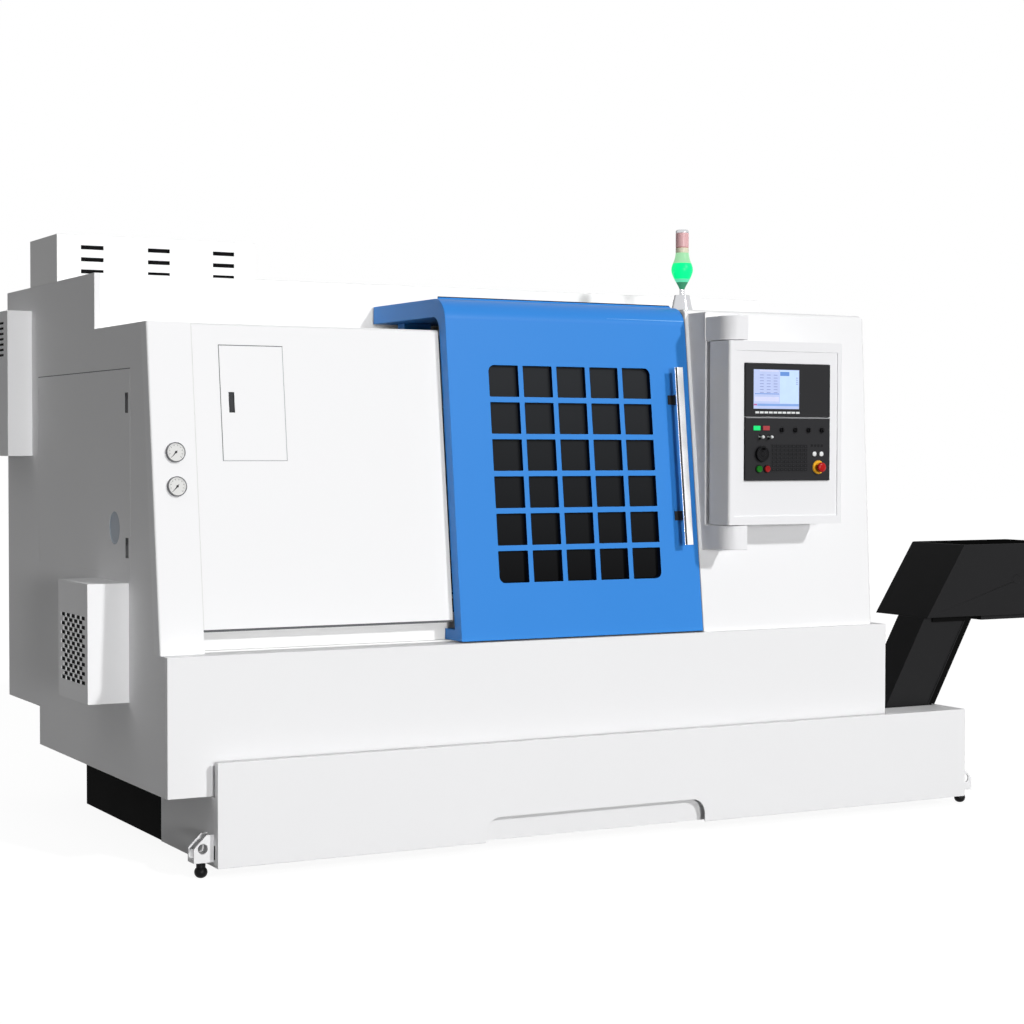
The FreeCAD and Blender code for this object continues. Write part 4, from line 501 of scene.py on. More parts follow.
class Copier:
    """Geometry Nodes tree that repeats the incoming shape and gives the copies their finish."""

    name: str = ""
    inputs: tuple[tuple[str, str], ...] = ()

    def __init__(self) -> None:
        """Builds the tree and keeps its inputs' identifiers."""
        self.tree = bpy.data.node_groups.new(self.name, "GeometryNodeTree")
        face = self.tree.interface
        face.new_socket(name="Shape", in_out="INPUT", socket_type="NodeSocketGeometry")
        self.ids = {name: face.new_socket(
                name=name, in_out="INPUT", socket_type=f"NodeSocket{kind}").identifier
                for name, kind in (*self.inputs, ("Finish", "Material"))}
        face.new_socket(name="Shape", in_out="OUTPUT", socket_type="NodeSocketGeometry")
        wiring = self.wiring = Wiring(self.tree)
        self.start, end = wiring.node("NodeGroupInput"), wiring.node("NodeGroupOutput")
        self.copies = wiring.node("GeometryNodeInstanceOnPoints")
        self.real = wiring.node("GeometryNodeRealizeInstances")
        coat = wiring.node("GeometryNodeSetMaterial")
        wiring.join((self.start, "Shape", self.copies, "Instance"),
                (self.copies, "Instances", self.real, "Geometry"),
                (self.spread(), "Geometry", coat, "Geometry"),
                (self.start, "Finish", coat, "Material"), (coat, "Geometry", end, "Shape"))

    def spread(self) -> Node:
        """Wires up where the copies stand, and gives the node whose geometry gets the finish."""
        raise NotImplementedError


class RowsAndColumns(Copier):
    """Copies in rows and columns."""

    name = "rows_and_columns"
    inputs = (("Columns", "Int"), ("Rows", "Int"), ("Column Step", "Vector"), ("Row Step", "Vector"))

    def spread(self) -> Node:
        """Stands a line of points on each point of another.

        Returns:
            The node whose geometry gets the finish.
        """
        wiring, start = self.wiring, self.start
        lines = [wiring.node("GeometryNodeMeshLine", mode="OFFSET") for _ in range(2)]
        for line, count, step in zip(lines, ("Columns", "Rows"), ("Column Step", "Row Step")):
            wiring.join((start, count, line, "Count"), (start, step, line, "Offset"))
        grid = wiring.node("GeometryNodeInstanceOnPoints")
        points = wiring.node("GeometryNodeRealizeInstances")
        wiring.join((lines[0], "Mesh", grid, "Points"), (lines[1], "Mesh", grid, "Instance"),
                (grid, "Instances", points, "Geometry"), (points, "Geometry", self.copies, "Points"))
        return self.real


class RingOfCopies(Copier):
    """Copies round a circle, each turned to it."""

    name = "ring_of_copies"
    inputs = (("Copies", "Int"), ("Tilt", "Vector"), ("Centre", "Vector"))

    def spread(self) -> Node:
        """Turns the copies by their share of a circle.

        Returns:
            The node whose geometry gets the finish.
        """
        wiring, start, copies = self.wiring, self.start, self.copies
        line = wiring.node("GeometryNodeMeshLine", {"Offset": (0, 0, 0)}, mode="OFFSET")
        index = wiring.node("GeometryNodeInputIndex")
        share = wiring.math("DIVIDE")
        angle = wiring.math("MULTIPLY", {1: math.tau})
        turn = wiring.node("ShaderNodeCombineXYZ")
        move = wiring.node("GeometryNodeTransform")
        wiring.join((start, "Copies", line, "Count"), (index, 0, share, 0), (start, "Copies", share, 1),
                (share, 0, angle, 0), (angle, 0, turn, "Z"), (line, "Mesh", copies, "Points"),
                (turn, "Vector", copies, "Rotation"), (self.real, "Geometry", move, "Geometry"),
                (start, "Tilt", move, "Rotation"), (start, "Centre", move, "Translation"))
        return move


@dataclass(frozen=True)
class Piece:
    """A new piece: name, finish, CAD node whose body it shares, CAD nodes that it stands for.

    Edges that turn by more degrees than sharp stay sharp.
    """

    name: str
    finish: Look
    like: str
    replaces: tuple[str, ...] = ()
    sharp: float = SHARP


class Workshop:
    """Holds the frame and finishes, and puts finished pieces on their bodies."""

    def __init__(self, frame: dict) -> None:
        """Keeps the loaded frame and builds the shared node trees.
        """
        record = frame["record"]
        self.nodes = frame["nodes"]
        self.slots = {s["node"]: s["material_slot"] for s in record["subparts"]}
        self.body_of = {n: b for b, names in record["behaviour"]["bodies"].items() for n in names}
        self.paint = surface_group("paint_grain",
                stretch=(1.0, 1.0, 1.0), fine=900.0, slow=(3.0, 4.0), wander=0.12)
        self.metal = surface_group("tool_marks",
                stretch=(1400.0, 60.0, 60.0), fine=1.0, slow=(9.0, 2.0), wander=0.2)
        self.grid = RowsAndColumns()
        self.ring = RingOfCopies()
        self.made: dict[str, Material] = {}

    def material(self, finish: Look) -> Material:
        """The node material of a finish, built on its first use.

        Args:
            finish: a finish or a lit surface.

        Returns:
            The material.
        """
        if finish.label not in self.made:
            self.made[finish.label] = self._lit(finish) if isinstance(finish, Glow) else self._skin(finish)
        return self.made[finish.label]

    @staticmethod
    def _base(label: str) -> tuple[Material, Wiring, Node, Node]:
        """Starts a material.

        Args:
            label: its name.

        Returns:
            The material, its wiring, its texture coordinates and its shader.
        """
        material = bpy.data.materials.new(label)
        material.use_nodes = True
        wiring = Wiring(material.node_tree)
        place, shader = wiring.node("ShaderNodeTexCoord"), material.node_tree.nodes["Principled BSDF"]
        return material, wiring, place, shader

    def _skin(self, finish: Finish) -> Material:
        """Builds a painted, moulded or machined skin.

        Args:
            finish: the finish.

        Returns:
            The material.
        """
        skin = finish.value
        material, wiring, place, shader = self._base(skin.label)
        tree = self.metal if skin.metal > METAL else self.paint
        values = {"Colour": srgb(skin.colour), "Gloss": skin.roughness, "Blotch": skin.blotch}
        group = wiring.node("ShaderNodeGroup", values, node_tree=tree)
        bump = wiring.node("ShaderNodeBump", {"Strength": skin.grain, "Distance": GRAIN_DEPTH})
        wiring.join((place, "Object", group, "Place"), (group, "Colour", shader, "Base Color"),
                (group, "Roughness", shader, "Roughness"), (group, "Height", bump, "Height"),
                (bump, "Normal", shader, "Normal"))
        shader.inputs["Metallic"].default_value = skin.metal
        if finish is Finish.BLUE:
            self._quiet_bounce(wiring, group, shader)
        if skin.metal < METAL:
            shader.inputs["Specular IOR Level"].default_value = skin.specular
        return material

    @staticmethod
    def _quiet_bounce(wiring: Wiring, group: Node, shader: Node) -> None:
        """Greys the light that a strong colour throws on its neighbours.

        Args:
            wiring: the material's wiring.
            group: the node that gives its colour.
            shader: its shader.
        """
        seen = wiring.node("ShaderNodeLightPath")
        blend = wiring.blend(two=srgb((176, 178, 182)))
        wiring.join((seen, "Is Diffuse Ray", blend, "Factor"), (group, "Colour", blend, "A"),
                (blend, "Result", shader, "Base Color"))

    def _lit(self, glow: Glow) -> Material:
        """Builds a lit surface whose glow varies a little over it.

        Args:
            glow: the lit surface.

        Returns:
            The material.
        """
        material, wiring, place, shader = self._base(glow.label)
        colour = srgb(glow.colour)
        noise = wiring.node("ShaderNodeTexNoise", {"Scale": glow.grain})
        blend = wiring.blend(colour, (*[c * glow.dim for c in colour[:3]], 1.0))
        shade = wiring.node("ShaderNodeVectorMath", {"Scale": glow.base}, operation="SCALE")
        wiring.join((place, "Object", noise, "Vector"), (noise, "Fac", blend, "Factor"),
                (blend, "Result", shade, 0), (shade, 0, shader, "Base Color"),
                (blend, "Result", shader, "Emission Color"))
        for name, value in (("Specular IOR Level", glow.specular), ("Emission Strength", glow.strength),
                ("Roughness", glow.roughness)):
            shader.inputs[name].default_value = value
        return material

    def glass_with_painted_shade(self, glass: Glass) -> Material:
        """Builds an opaque dark glass whose colour is painted shade, paling towards its top as painted light.

        Args:
            glass: the glass.

        Returns:
            The material.
        """
        material, wiring, place, shader = self._base(glass.label)
        split = wiring.node("ShaderNodeSeparateXYZ")
        height = wiring.node("ShaderNodeMapRange",
                {"From Min": glass.dark_below, "From Max": glass.pale_above})
        tone = wiring.blend(srgb(glass.dark), srgb(glass.pale))
        haze = wiring.node("ShaderNodeTexNoise", {"Scale": glass.haze})
        rough = wiring.node("ShaderNodeMapRange", dict(zip(("To Min", "To Max"), glass.roughness)))
        wiring.join((place, "Object", split, 0), (split, "Z", height, "Value"),
                (height, "Result", tone, "Factor"), (tone, "Result", shader, "Base Color"),
                (place, "Object", haze, "Vector"), (haze, "Fac", rough, "Value"),
                (rough, "Result", shader, "Roughness"))
        shader.inputs["Specular IOR Level"].default_value = glass.specular
        return material

    def put(self, piece: Piece, mesh: Mesh) -> Object:
        """Places a finished mesh on a body.

        Args:
            piece: what the mesh is.
            mesh: the mesh in the row frame.

        Returns:
            The new object.
        """
        made = placed(piece.name, mesh)
        mesh.materials.clear()
        mesh.materials.append(self.material(piece.finish))
        body, slot = self.body_of[piece.like], self.slots[piece.like]
        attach(made, body)
        if piece.replaces:
            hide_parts(*piece.replaces)
        LOG.info("%s on %s", piece.name, body)
        return made

    def add(self, piece: Piece, shape: Shape) -> Object:
        """Finishes a shape and puts it on its body."""
        return self.put(piece, shape.mesh(piece.name, piece.sharp))

    def boxes(self, piece: Piece, corners: Sequence[Point], bevel: float = 0.0,
            frame: Matrix | None = None) -> None:
        """Adds a piece that is made of boxes.

        Args:
            piece: what it is.
            corners: lowest and highest corner of each box in turn.
            bevel: radius of the rounded edges.
            frame: matrix from the corners' millimetres to the machine's.
        """
        shape = Shape(frame)
        for low, high in zip(corners[::2], corners[1::2]):
            shape.block(low, high, bevel)
        self.add(piece, shape)

    def turn(self, piece: Piece, profile: Sequence[Point], centre: Point, steps: int,
            axis: Axis = Axis.Y) -> None:
        """Adds a turned piece. Its Args are those of Shape.turned."""
        self.add(piece, Shape().turned(profile, axis, centre, steps))

    def dress(self, node: str, material: Material | Finish) -> None:
        """Gives a CAD node a finish.

        Args:
            node: name of the CAD node.
            material: a finish or a ready material.
        """
        chosen = self.material(material) if isinstance(material, Finish) else material
        self.nodes[node].data.materials.clear()
        self.nodes[node].data.materials.append(chosen)
        LOG.info("%s dressed as %s", node, chosen.name)

    def soften(self, node: str, finish: Finish, width: float) -> Object:
        """Replaces a CAD node by a copy with folded, rounded edges.

        Args:
            node: name of the CAD node.
            finish: its finish.
            width: width of the rounding in millimetres.

        Returns:
            The new object.
        """
        name = f"{node}_skin"
        bm = bmesh.new()
        bm.from_mesh(self.nodes[node].data)
        bmesh.ops.remove_doubles(bm, verts=bm.verts, dist=WELD)
        mesh = bpy.data.meshes.new(name)
        bm.to_mesh(mesh)
        bm.free()
        mesh.materials.clear()
        piece = placed(name, mesh)
        bevel = piece.modifiers.new("folds", "BEVEL")
        bevel.width = width * MM
        bevel.segments = FOLD_STEPS
        bevel.limit_method = "ANGLE"
        bevel.angle_limit = math.radians(FOLD_ANGLE)
        bevel.miter_outer = "MITER_ARC"
        bevel.use_clamp_overlap = True
        return self._settle(piece, Piece(name, finish, node, (node,)))

    def _settle(self, source: Object, piece: Piece) -> Object:
        """Turns an object with modifiers into a plain mesh and puts it on its body.

        Args:
            source: the object, which is used up.
            piece: what the mesh is.

        Returns:
            The new object.
        """
        view = bpy.context.evaluated_depsgraph_get()
        mesh = bpy.data.meshes.new_from_object(source.evaluated_get(view))
        bpy.data.objects.remove(source)
        mesh.name = piece.name
        return self.put(piece, shaded(mesh, SHARP_SKIN))

    def _copies(self, copier: Copier, piece: Piece, mesh: Mesh, values: dict) -> None:
        """Repeats a mesh with one of the trees.

        Args:
            copier: the tree.
            piece: what the copies are.
            mesh: the first copy.
            values: values of the tree's inputs, by name.
        """
        source = placed(piece.name, mesh)
        change = source.modifiers.new(copier.name, "NODES")
        change.node_group = copier.tree
        for key, amount in {**values, "Finish": self.material(piece.finish)}.items():
            change[copier.ids[key]] = amount
        self._settle(source, piece)

    def repeat(self, piece: Piece, shape: Shape, columns: int, column_step: Point, rows: int = 1,
            row_step: Point = (0, 0, 0)) -> None:
        """Repeats a shape in rows and columns with the Geometry Nodes tree.

        Args:
            piece: what the copies are.
            shape: the first copy.
            columns: copies in a row.
            column_step: step between columns in machine millimetres.
            rows: number of rows.
            row_step: step between rows in machine millimetres.
        """
        self._copies(self.grid, piece, shape.mesh(piece.name), {
                "Columns": columns, "Rows": rows, "Column Step": [c * MM for c in column_step],
                "Row Step": [c * MM for c in row_step]})

    def spin(self, piece: Piece, shape: Shape, copies: int, centre: Point, tilt: Point) -> None:
        """Repeats a shape round a circle with the Geometry Nodes tree.

        Args:
            piece: what the copies are.
            shape: one copy, drawn round the machine frame's own Z axis.
            copies: number of copies.
            centre: centre of the circle in machine millimetres.
            tilt: turn that brings Z to the circle's axis, in radians.
        """
        mesh = shape.mesh(piece.name)
        mesh.transform(Matrix.Translation(CENTRE * MM))
        self._copies(self.ring, piece, mesh,
                {"Copies": copies, "Tilt": list(tilt), "Centre": list(row(*centre))})


@dataclass
class Assembly:
    """A group of pieces that is built together. Its fields are its sizes in millimetres."""

    shop: Workshop

    def build(self) -> None:
        """Dresses the CAD nodes of the group and adds its pieces."""
        raise NotImplementedError


@dataclass
class Enclosure(Assembly):
    """Sheet-metal guarding: skirts, walls, fronts, roof and covers."""

    hatch_foot: float = 1453.0
    hatch_top: float = 1870.0
    column_foot: float = 860.0
    column_top: float = 1944.0
    port_centre: Triple = (0.0, 577.0, 1205.0)
    port_radius: float = 60.5
    right_side: float = 3117.0
    screw_foot: float = 430.0
    screw_step: float = 100.0
    screw_count: int = 4
    latch_rise: float = 175.0
    latch_heights: tuple[tuple[str, float], ...] = (("low", 1100.0), ("high", 1626.0))

    def build(self) -> None:
        """Dresses the sheets and adds their latches, port, seams and screws."""
        for node, finish, width in (
                ("mid_skirt", Finish.SKIRT, 3.0), ("left_side_wall", Finish.SKIRT, 1.5),
                ("service_door", Finish.SKIRT, 1.0), ("rear_shell", Finish.SKIRT, 3.0),
                ("roof_box", Finish.ROOF, 4.0), ("front_roof", Finish.ROOF, 1.5),
                ("right_cover", Finish.WHITE, 3.0), ("corner_column", Finish.WHITE, 2.0),
                ("left_front_panel", Finish.WHITE, 1.2), ("hatch_door", Finish.WHITE, 1.0),
                ("door_sill", Finish.ROOF, 1.5)):
            self.shop.soften(node, finish, width)
        self.shop.dress("door_top_rail", Finish.GROUND)
        self.shop.dress("chamber_liner", Finish.LINER)
        self.latches()
        self.port()
        self.seams()
        self.fasteners()

    def flush_latch(self, name: str, frame: Matrix, size: Pair, like: str) -> None:
        """Adds a flush paddle latch that fills its recess.

        Args:
            name: name of the latch.
            frame: matrix of the recess, whose low corner is its origin and mouth faces -Y.
            size: width and height of the recess.
            like: the door's CAD node.
        """
        width, height = size
        gap, face, back = 0.4, 0.1, 2.4
        rim = min(3.0, width * 0.12)
        body = Shape(frame).block((gap, 2.2, gap), (width - gap, 5.8, height - gap), gap)
        for left, right, low, high in (
                (gap, rim, gap, height - gap), (width - rim, width - gap, gap, height - gap),
                (gap, width - gap, gap, rim), (gap, width - gap, height - rim, height - gap)):
            body.block((left, face, low), (right, back, high), 0.3)
        body.block((rim + 1, 0.6, rim + 1), (width - rim - 1, back, height * 0.62), 0.8)
        body.turned([(0.5, 0), (0.5, width * 0.16), (0.9, width * 0.2), (back, width * 0.2), (back, 0)],
                Axis.Y, (width / 2, 0, height * 0.8), 24)
        self.shop.add(Piece(name, Finish.BLACK_LATCH, like), body)

    def latches(self) -> None:
        """Adds the hatch's latch and the two of the service door."""
        foot = along(self.hatch_foot) + self.latch_rise
        self.flush_latch("hatch_latch", leaning(PANEL_FOOT) @ Matrix.Translation((296, 0, foot)), (22, 74),
                "hatch_door")
        for name, height in self.latch_heights:
            frame = Matrix.Translation((0, 450, height)) @ Matrix.Rotation(-math.pi / 2, 4, "Z")
            self.flush_latch(f"service_latch_{name}", frame, (35, 74), "service_door")

    def port(self) -> None:
        """Adds the round port cover of the service door."""
        radius = self.port_radius
        self.shop.turn(Piece("port_cover", Finish.PORT, "service_door", sharp=25),
                [(7.8, 0), (7.8, radius), (0.6, radius), (0.3, radius - 1), (0.3, radius - 5),
                (2.2, radius - 7), (2.6, radius * 0.3), (2.4, 0)], self.port_centre, 64, Axis.X)

    def seams(self) -> None:
        """Backs the joints between the sheets with strips: grey ones are painted shade in the hatch's shaded
        joints, at the service door's top and under the left panel; pale ones are painted light on the hatch's
        lit joints; near-white ones fill the column's and the service door's seams.
        """
        front = leaning(PANEL_FOOT)
        low, high = along(self.hatch_foot), along(self.hatch_top)
        column, panel, wall = "corner_column", "left_front_panel", "left_side_wall"
        for name, finish, like, corners, bevel, frame in (
                ("column_strip", Finish.DIAL, column,
                ((163.6, 0.4, along(self.column_foot)), (166.4, 6, along(self.column_top))), 0.2, front),
                # The hatch's strips are lit and shaded copies: grey painted shade on its left and top, pale
                # painted light on its right and bottom.
                ("hatch_strip_painted_shade", Finish.SEAM, panel,
                ((264.1, 0.6, low + 2), (266.9, 6, high - 2),
                (264.2, 0.6, high - 2.9), (511.9, 6, high - 0.1)), 0.2, front),
                ("hatch_strip_painted_light", Finish.SEAM_PAINTED_LIGHT, panel,
                ((509.1, 0.6, low + 2), (511.9, 6, high - 3),
                (264.2, 0.6, low + 0.1), (509, 6, low + 2.9)), 0.2, front),
                # Painted shadow: a grey strip under the left panel's bottom edge.
                ("panel_foot_painted_shadow", Finish.SEAM, panel, ((168, 87, 850.4), (1146, 103, 858.9)), 0.6, None),
                ("service_strip", Finish.SKIRT, wall,
                ((0.3, 391.1, 1039), (6, 393.9, 1785), (0.3, 391.1, 1036.1), (6, 1566.9, 1038.9)), 0.2, None),
                ("service_strip_top", Finish.SEAM, wall,
                ((0.8, 391.1, 1785.1), (6, 1566.9, 1787.9)), 0.2, None)):
            self.shop.boxes(Piece(name, finish, like), corners, bevel, frame)

    def fasteners(self) -> None:
        """Adds the rows of cap screws down the right side, each head with a round socket."""
        profile = [(0, 0), (0, 6), (2.55, 6), (3, 5.1), (3, 3), (1.2, 2.7), (1.2, 0)]
        for name, y in (("side_screws_front", 60.0), ("side_screws_rear", 780.0)):
            head = Shape().turned(profile, Axis.X, (self.right_side, y, self.screw_foot), 12)
            self.shop.repeat(Piece(name, Finish.SATIN, "mid_skirt"), head, 1, (0, 0, 0),
                    self.screw_count, (0, 0, self.screw_step))


@dataclass
class TankAndBed(Assembly):
    """Coolant tank, its skirt, the ball feet, the bed and what it carries."""

    def build(self) -> None:
        """Dresses the base of the machine and what stands inside it."""
        self.shop.soften("tank_front_skirt", Finish.SKIRT, 2.5)
        # A near-black block in the skirt's return: painted shade for the dark inside of a slot.
        self.shop.boxes(Piece("skirt_slot_shade", Finish.BED, "tank_front_skirt"),
                ((160.5, -32, 65), (162, -22, 115)), 0.4)
        self.shop.soften("coolant_tank", Finish.SKIRT, 1.5)
        for finish, nodes in (
                (Finish.BED, ("machine_bed",)), (Finish.FOOT, ("levelling_feet", "tank_ball_feet")),
                (Finish.GROUND, ("z_axis_guide_set", "spindle", "chuck_jaw_1", "chuck_jaw_2", "chuck_jaw_3",
                    "tailstock_quill", "live_centre")),
                (Finish.SLIDE, ("headstock", "carriage", "cross_slide", "tailstock_body")),
                (Finish.MOTOR, ("spindle_motor",)), (Finish.BELT, ("drive_belt",)),
                (Finish.CHUCK, ("motor_pulley", "chuck_body", "turret_disc"))):
            for node in nodes:
                self.shop.dress(node, finish)


@dataclass
class SideBoxes(Assembly):
    """Slotted cabinet on the roof, pump box and supply box on the left side."""

    backing_bevel: float = 1.0

    def build(self) -> None:
        """Softens the boxes and backs their slots with dark pads that paint the shade inside the boxes."""
        self.shop.soften("vent_cabinet", Finish.ROOF, 1.6)
        self.shop.soften("pump_box", Finish.WHITE, 1.2)
        self.shop.soften("supply_box", Finish.WHITE, 1.2)
        for name, like, low, high in (("vent_slot_shade", "vent_cabinet", (60, 1301, 2185), (790, 1309, 2325)),
                ("pump_slot_shade", "pump_box", (-149, 430, 630), (-141, 758, 930)),
                ("supply_slot_shade", "supply_box", (-96, 1700, 1860), (-88, 1960, 2030))):
            self.shop.boxes(Piece(name, Finish.FILTER, like), (low, high), self.backing_bevel)


@dataclass
class SlidingDoor(Assembly):
    """Blue door with its barred window, painted shade in its window's openings and along its top, a painted
    highlight line, and its handle.
    """

    window_left: float = 1323.0
    window_right: float = 2042.0
    window_foot: float = 990.0
    window_top: float = 1820.0
    shade_reach: Pair = (4.0, 8.0)
    wall_turn: float = 0.5
    highlight_height: float = 1987.6
    highlight_rise: float = 21.8
    crest_left: float = 1168.0
    bar_left: float = 2130.0
    bar_width: float = 33.0
    bar_foot: float = 1117.0
    bar_top: float = 1816.0
    bracket_heights: Pair = (1236.0, 1693.0)

    def build(self) -> None:
        """Dresses the door and adds its painted highlight line, its crest with painted shade along it, and
        its handle.
        """
        self.shade_window_walls(self.shop.soften("door_shell", Finish.BLUE, 2.2))
        self.shop.dress("door_glass", self.shop.glass_with_painted_shade(WINDOW))
        # A thin pale blue strip below the door's top: a painted highlight where the roll meets the flat
        # front.
        roll = along(self.highlight_height) + self.highlight_rise
        outline = [(1860, roll - 0.3), (2217, roll - 1.5), (2217, roll + 1.5), (1860, roll + 0.3)]
        highlight_line = Shape(leaning(DOOR_FOOT)).prism(outline, Axis.Y, 1.9, 3.6)
        self.shop.add(Piece("door_highlight_line", Finish.BLUE_PAINTED_HIGHLIGHT, "door_shell"), highlight_line)
        for name, finish, right, end, low, high, front, back in (
                ("door_crest", Finish.BLUE, 2216, 2209, 2066.4, 2073.4, 252, 259),
                # A dark blue strip of painted shade along the crest's top edge.
                ("door_crest_shade", Finish.BLUE_PAINTED_SHADE, 2209, 2205, 2073.2, 2077, 252.6, 258.4)):
            outline = [(self.crest_left, low), (right, low), (end, high), (self.crest_left, high)]
            self.shop.add(Piece(name, finish, "door_shell"), Shape().prism(outline, Axis.Y, front, back, 0.4))
        self.handle()

    def handle(self) -> None:
        """Replaces the handle by a bright bar with a dark strip of painted shade along its left edge, on two
        brackets.
        """
        frame = leaning(DOOR_FOOT)
        low, high, left = along(self.bar_foot), along(self.bar_top), self.bar_left
        node = "door_handle"
        for name, finish, start, front, foot, end, back, top, bevel in (
                ("bar", Finish.SATIN, 5, -57, low, self.bar_width, -46.2, high, 1.5),
                ("lip", Finish.SATIN, -2.6, -53.4, low, 0.5, -47.2, high, 0.8),
                # The dark edge strip is painted shade along the bar's left side.
                ("edge", Finish.BLACK_LATCH, 0.4, -57.4, low + 1, 5.6, -46.8, high - 1, 0.6)):
            self.shop.boxes(Piece(f"handle_{name}", finish, node, (node,) if name == "bar" else ()),
                    ((left + start, front, foot), (left + end, back, top)), bevel, frame)
        brackets = Shape(frame)
        for height in self.bracket_heights:
            middle = along(height)
            brackets.block((left + 4.5, -46.4, middle - 17.5), (left + 28.5, -3, middle + 17.5), 2.0)
            brackets.block((left - 11, -5.2, middle - 18.5), (left + 34, -0.2, middle + 18.5), 1.0)
        self.shop.add(Piece("handle_brackets", Finish.BLACK_LATCH, node), brackets)

    def shade_window_walls(self, shell: Object) -> None:
        """Gives the walls of the window's openings a dark blue that is painted shade.

        Args:
            shell: the door's skin.
        """
        shell.data.materials.append(self.shop.material(Finish.BLUE_PAINTED_SHADE))
        frame = leaning(DOOR_FOOT)
        inward, back = frame.to_3x3() @ Vector((0, 1, 0)), frame.inverted()
        foot, top = along(self.window_foot), along(self.window_top)
        left, right = self.window_left - self.shade_reach[0], self.window_right + self.shade_reach[1]
        for face in shell.data.polygons:
            spot = back @ (face.center / MM + CENTRE)
            inside = left < spot.x < right and foot < spot.z < top
            if inside and abs(face.normal.dot(inward)) < self.wall_turn:
                face.material_index = 1


@dataclass
class Pendant(Assembly):
    """Post, swivelling housing, screen and operator panel with its controls."""

    screen: Quad = (2353.0, 2573.0, 1657.0, 1813.0)
    crest: float = 2060.0
    crest_drop: float = 26.0
    stop: Pair = (2666.0, 1428.0)
    button_height: float = 1422.0
    pilot_height: float = 1481.0
    knob_height: float = 1575.0
    knob_first: float = 2487.0
    knob_step: float = 65.0
    lever_height: float = 1547.0
    lever_first: float = 2382.0
    lever_step: float = 42.0
    wheel: Pair = (2391.0, 1481.0)
    panel: str = "operator_panel"

    def build(self) -> None:
        """Dresses the pendant and adds its screen, keys and controls."""
        self.lower_crest(self.shop.soften("pendant_post", Finish.PENDANT, 3.0))
        self.shop.boxes(Piece("post_bead", Finish.ROOF, "pendant_post"),
                ((2237.4, 36, 1926), (2240.4, 39, 2036)), 0.4)
        self.shop.soften("pendant_housing", Finish.PENDANT, 2.5)
        self.shop.soften("screen_unit", Finish.PANEL_PLASTIC, 1.0)
        self.shop.soften(self.panel, Finish.PANEL_PLASTIC, 0.6)
        self.display()
        self.keys()
        self.buttons()
        for i in range(4):
            self.selector(f"knob_{i + 1}", f"selector_knob_{i + 1}", self.knob_first + self.knob_step * i)
        for i in range(2):
            self.lever(f"lever_{i + 1}", f"lever_switch_{i + 1}", self.lever_first + self.lever_step * i)
        self.handwheel()

    def lower_crest(self, post: Object) -> None:
        """Brings the post's crest down to its upper arm, below the cover's white edge.

        Args:
            post: the post's skin.
        """
        for vert in post.data.vertices:
            if vert.co.z > self.crest * MM:
                vert.co.z -= self.crest_drop * MM

    def display(self) -> None:
        """Adds the lit screen with its header, table and rows, and the soft keys below it."""
        left, right, low, high = self.screen
        unit, face = "screen_unit", UNIT_FACE + 1.9
        for name, start, end, foot, top, glow, out in (
                ("screen_glass", left + 1, right - 1, low + 1, high - 1, SCREEN_GLOW, 0.2),
                ("screen_side", left + 126, right - 3, low + 22, high - 3, SCREEN_SIDE, 0.3),
                ("screen_title", left + 30, left + 120, high - 9, high - 3, SCREEN_TABLE, 0.35),
                ("screen_header", left + 127, left + 171, high - 25, high - 9, SCREEN_HEAD, 0.4),
                ("screen_rule", left + 6, left + 123, low + 58, low + 61, SCREEN_HEAD, 0.35),
                ("screen_table", left + 5, left + 122, low + 30, low + 48, SCREEN_TABLE, 0.35),
                ("screen_footer", left + 18, right - 2, low + 12, low + 21, SCREEN_FOOT, 0.35),
                ("screen_alert", left + 2, left + 17, low + 14, low + 20, SCREEN_ALERT, 0.4)):
            self.shop.boxes(Piece(name, glow, unit),
                    ((start, face - out, foot), (end, face + 0.05, top)), 0.05)
        bar = Shape().block((left + 30, face - 0.5, high - 24), (left + 48, face - 0.3, high - 21.4))
        self.shop.repeat(Piece("screen_rows", SCREEN_LINE, unit), bar, 3, (33, 0, 0), 7, (0, 0, -11.4))
        dot = Shape().block((right - 16, face - 0.5, high - 34), (right - 8, face - 0.3, high - 31))
        self.shop.repeat(Piece("screen_marks", SCREEN_LINE, unit), dot, 1, (0, 0, 0), 4, (0, 0, -8))
        key = Shape().block((2361, UNIT_FACE - 1.2, 1639.5), (2378.5, UNIT_FACE + 0.2, 1647.5), 0.5)
        self.shop.repeat(Piece("soft_keys", Finish.LAMP_WHITE, unit), key, 10, (21.6, 0, 0))

    def keys(self) -> None:
        """Adds the keypad, the key row under the knobs and the marks on the keys."""
        face = UNIT_FACE - 1.5
        for name, finish, low, high, bevel in (
                ("keypad", Finish.KEY, (2441, face - 1.8, 1413), (2457, face + 0.2, 1425), 0.6),
                ("keypad_marks", Finish.KEY_PRINT, (2445, face - 1.95, 1418), (2451, face - 1.7, 1420), 0.0)):
            self.shop.repeat(Piece(name, finish, self.panel), Shape().block(low, high, bevel),
                    9, (19.2, 0, 0), 7, (0, 0, 15.4))
        small = Shape().block((2630, UNIT_FACE - 1.6, 1509), (2640, UNIT_FACE + 0.2, 1519), 0.5)
        self.shop.repeat(Piece("side_keys", Finish.KEY, self.panel), small, 4, (16, 0, 0))
        self.shop.boxes(Piece("unit_trim", Finish.KEY_MARK, self.panel),
                ((2318, UNIT_FACE - 0.5, 1621.5), (2720, UNIT_FACE + 0.3, 1623.6)))

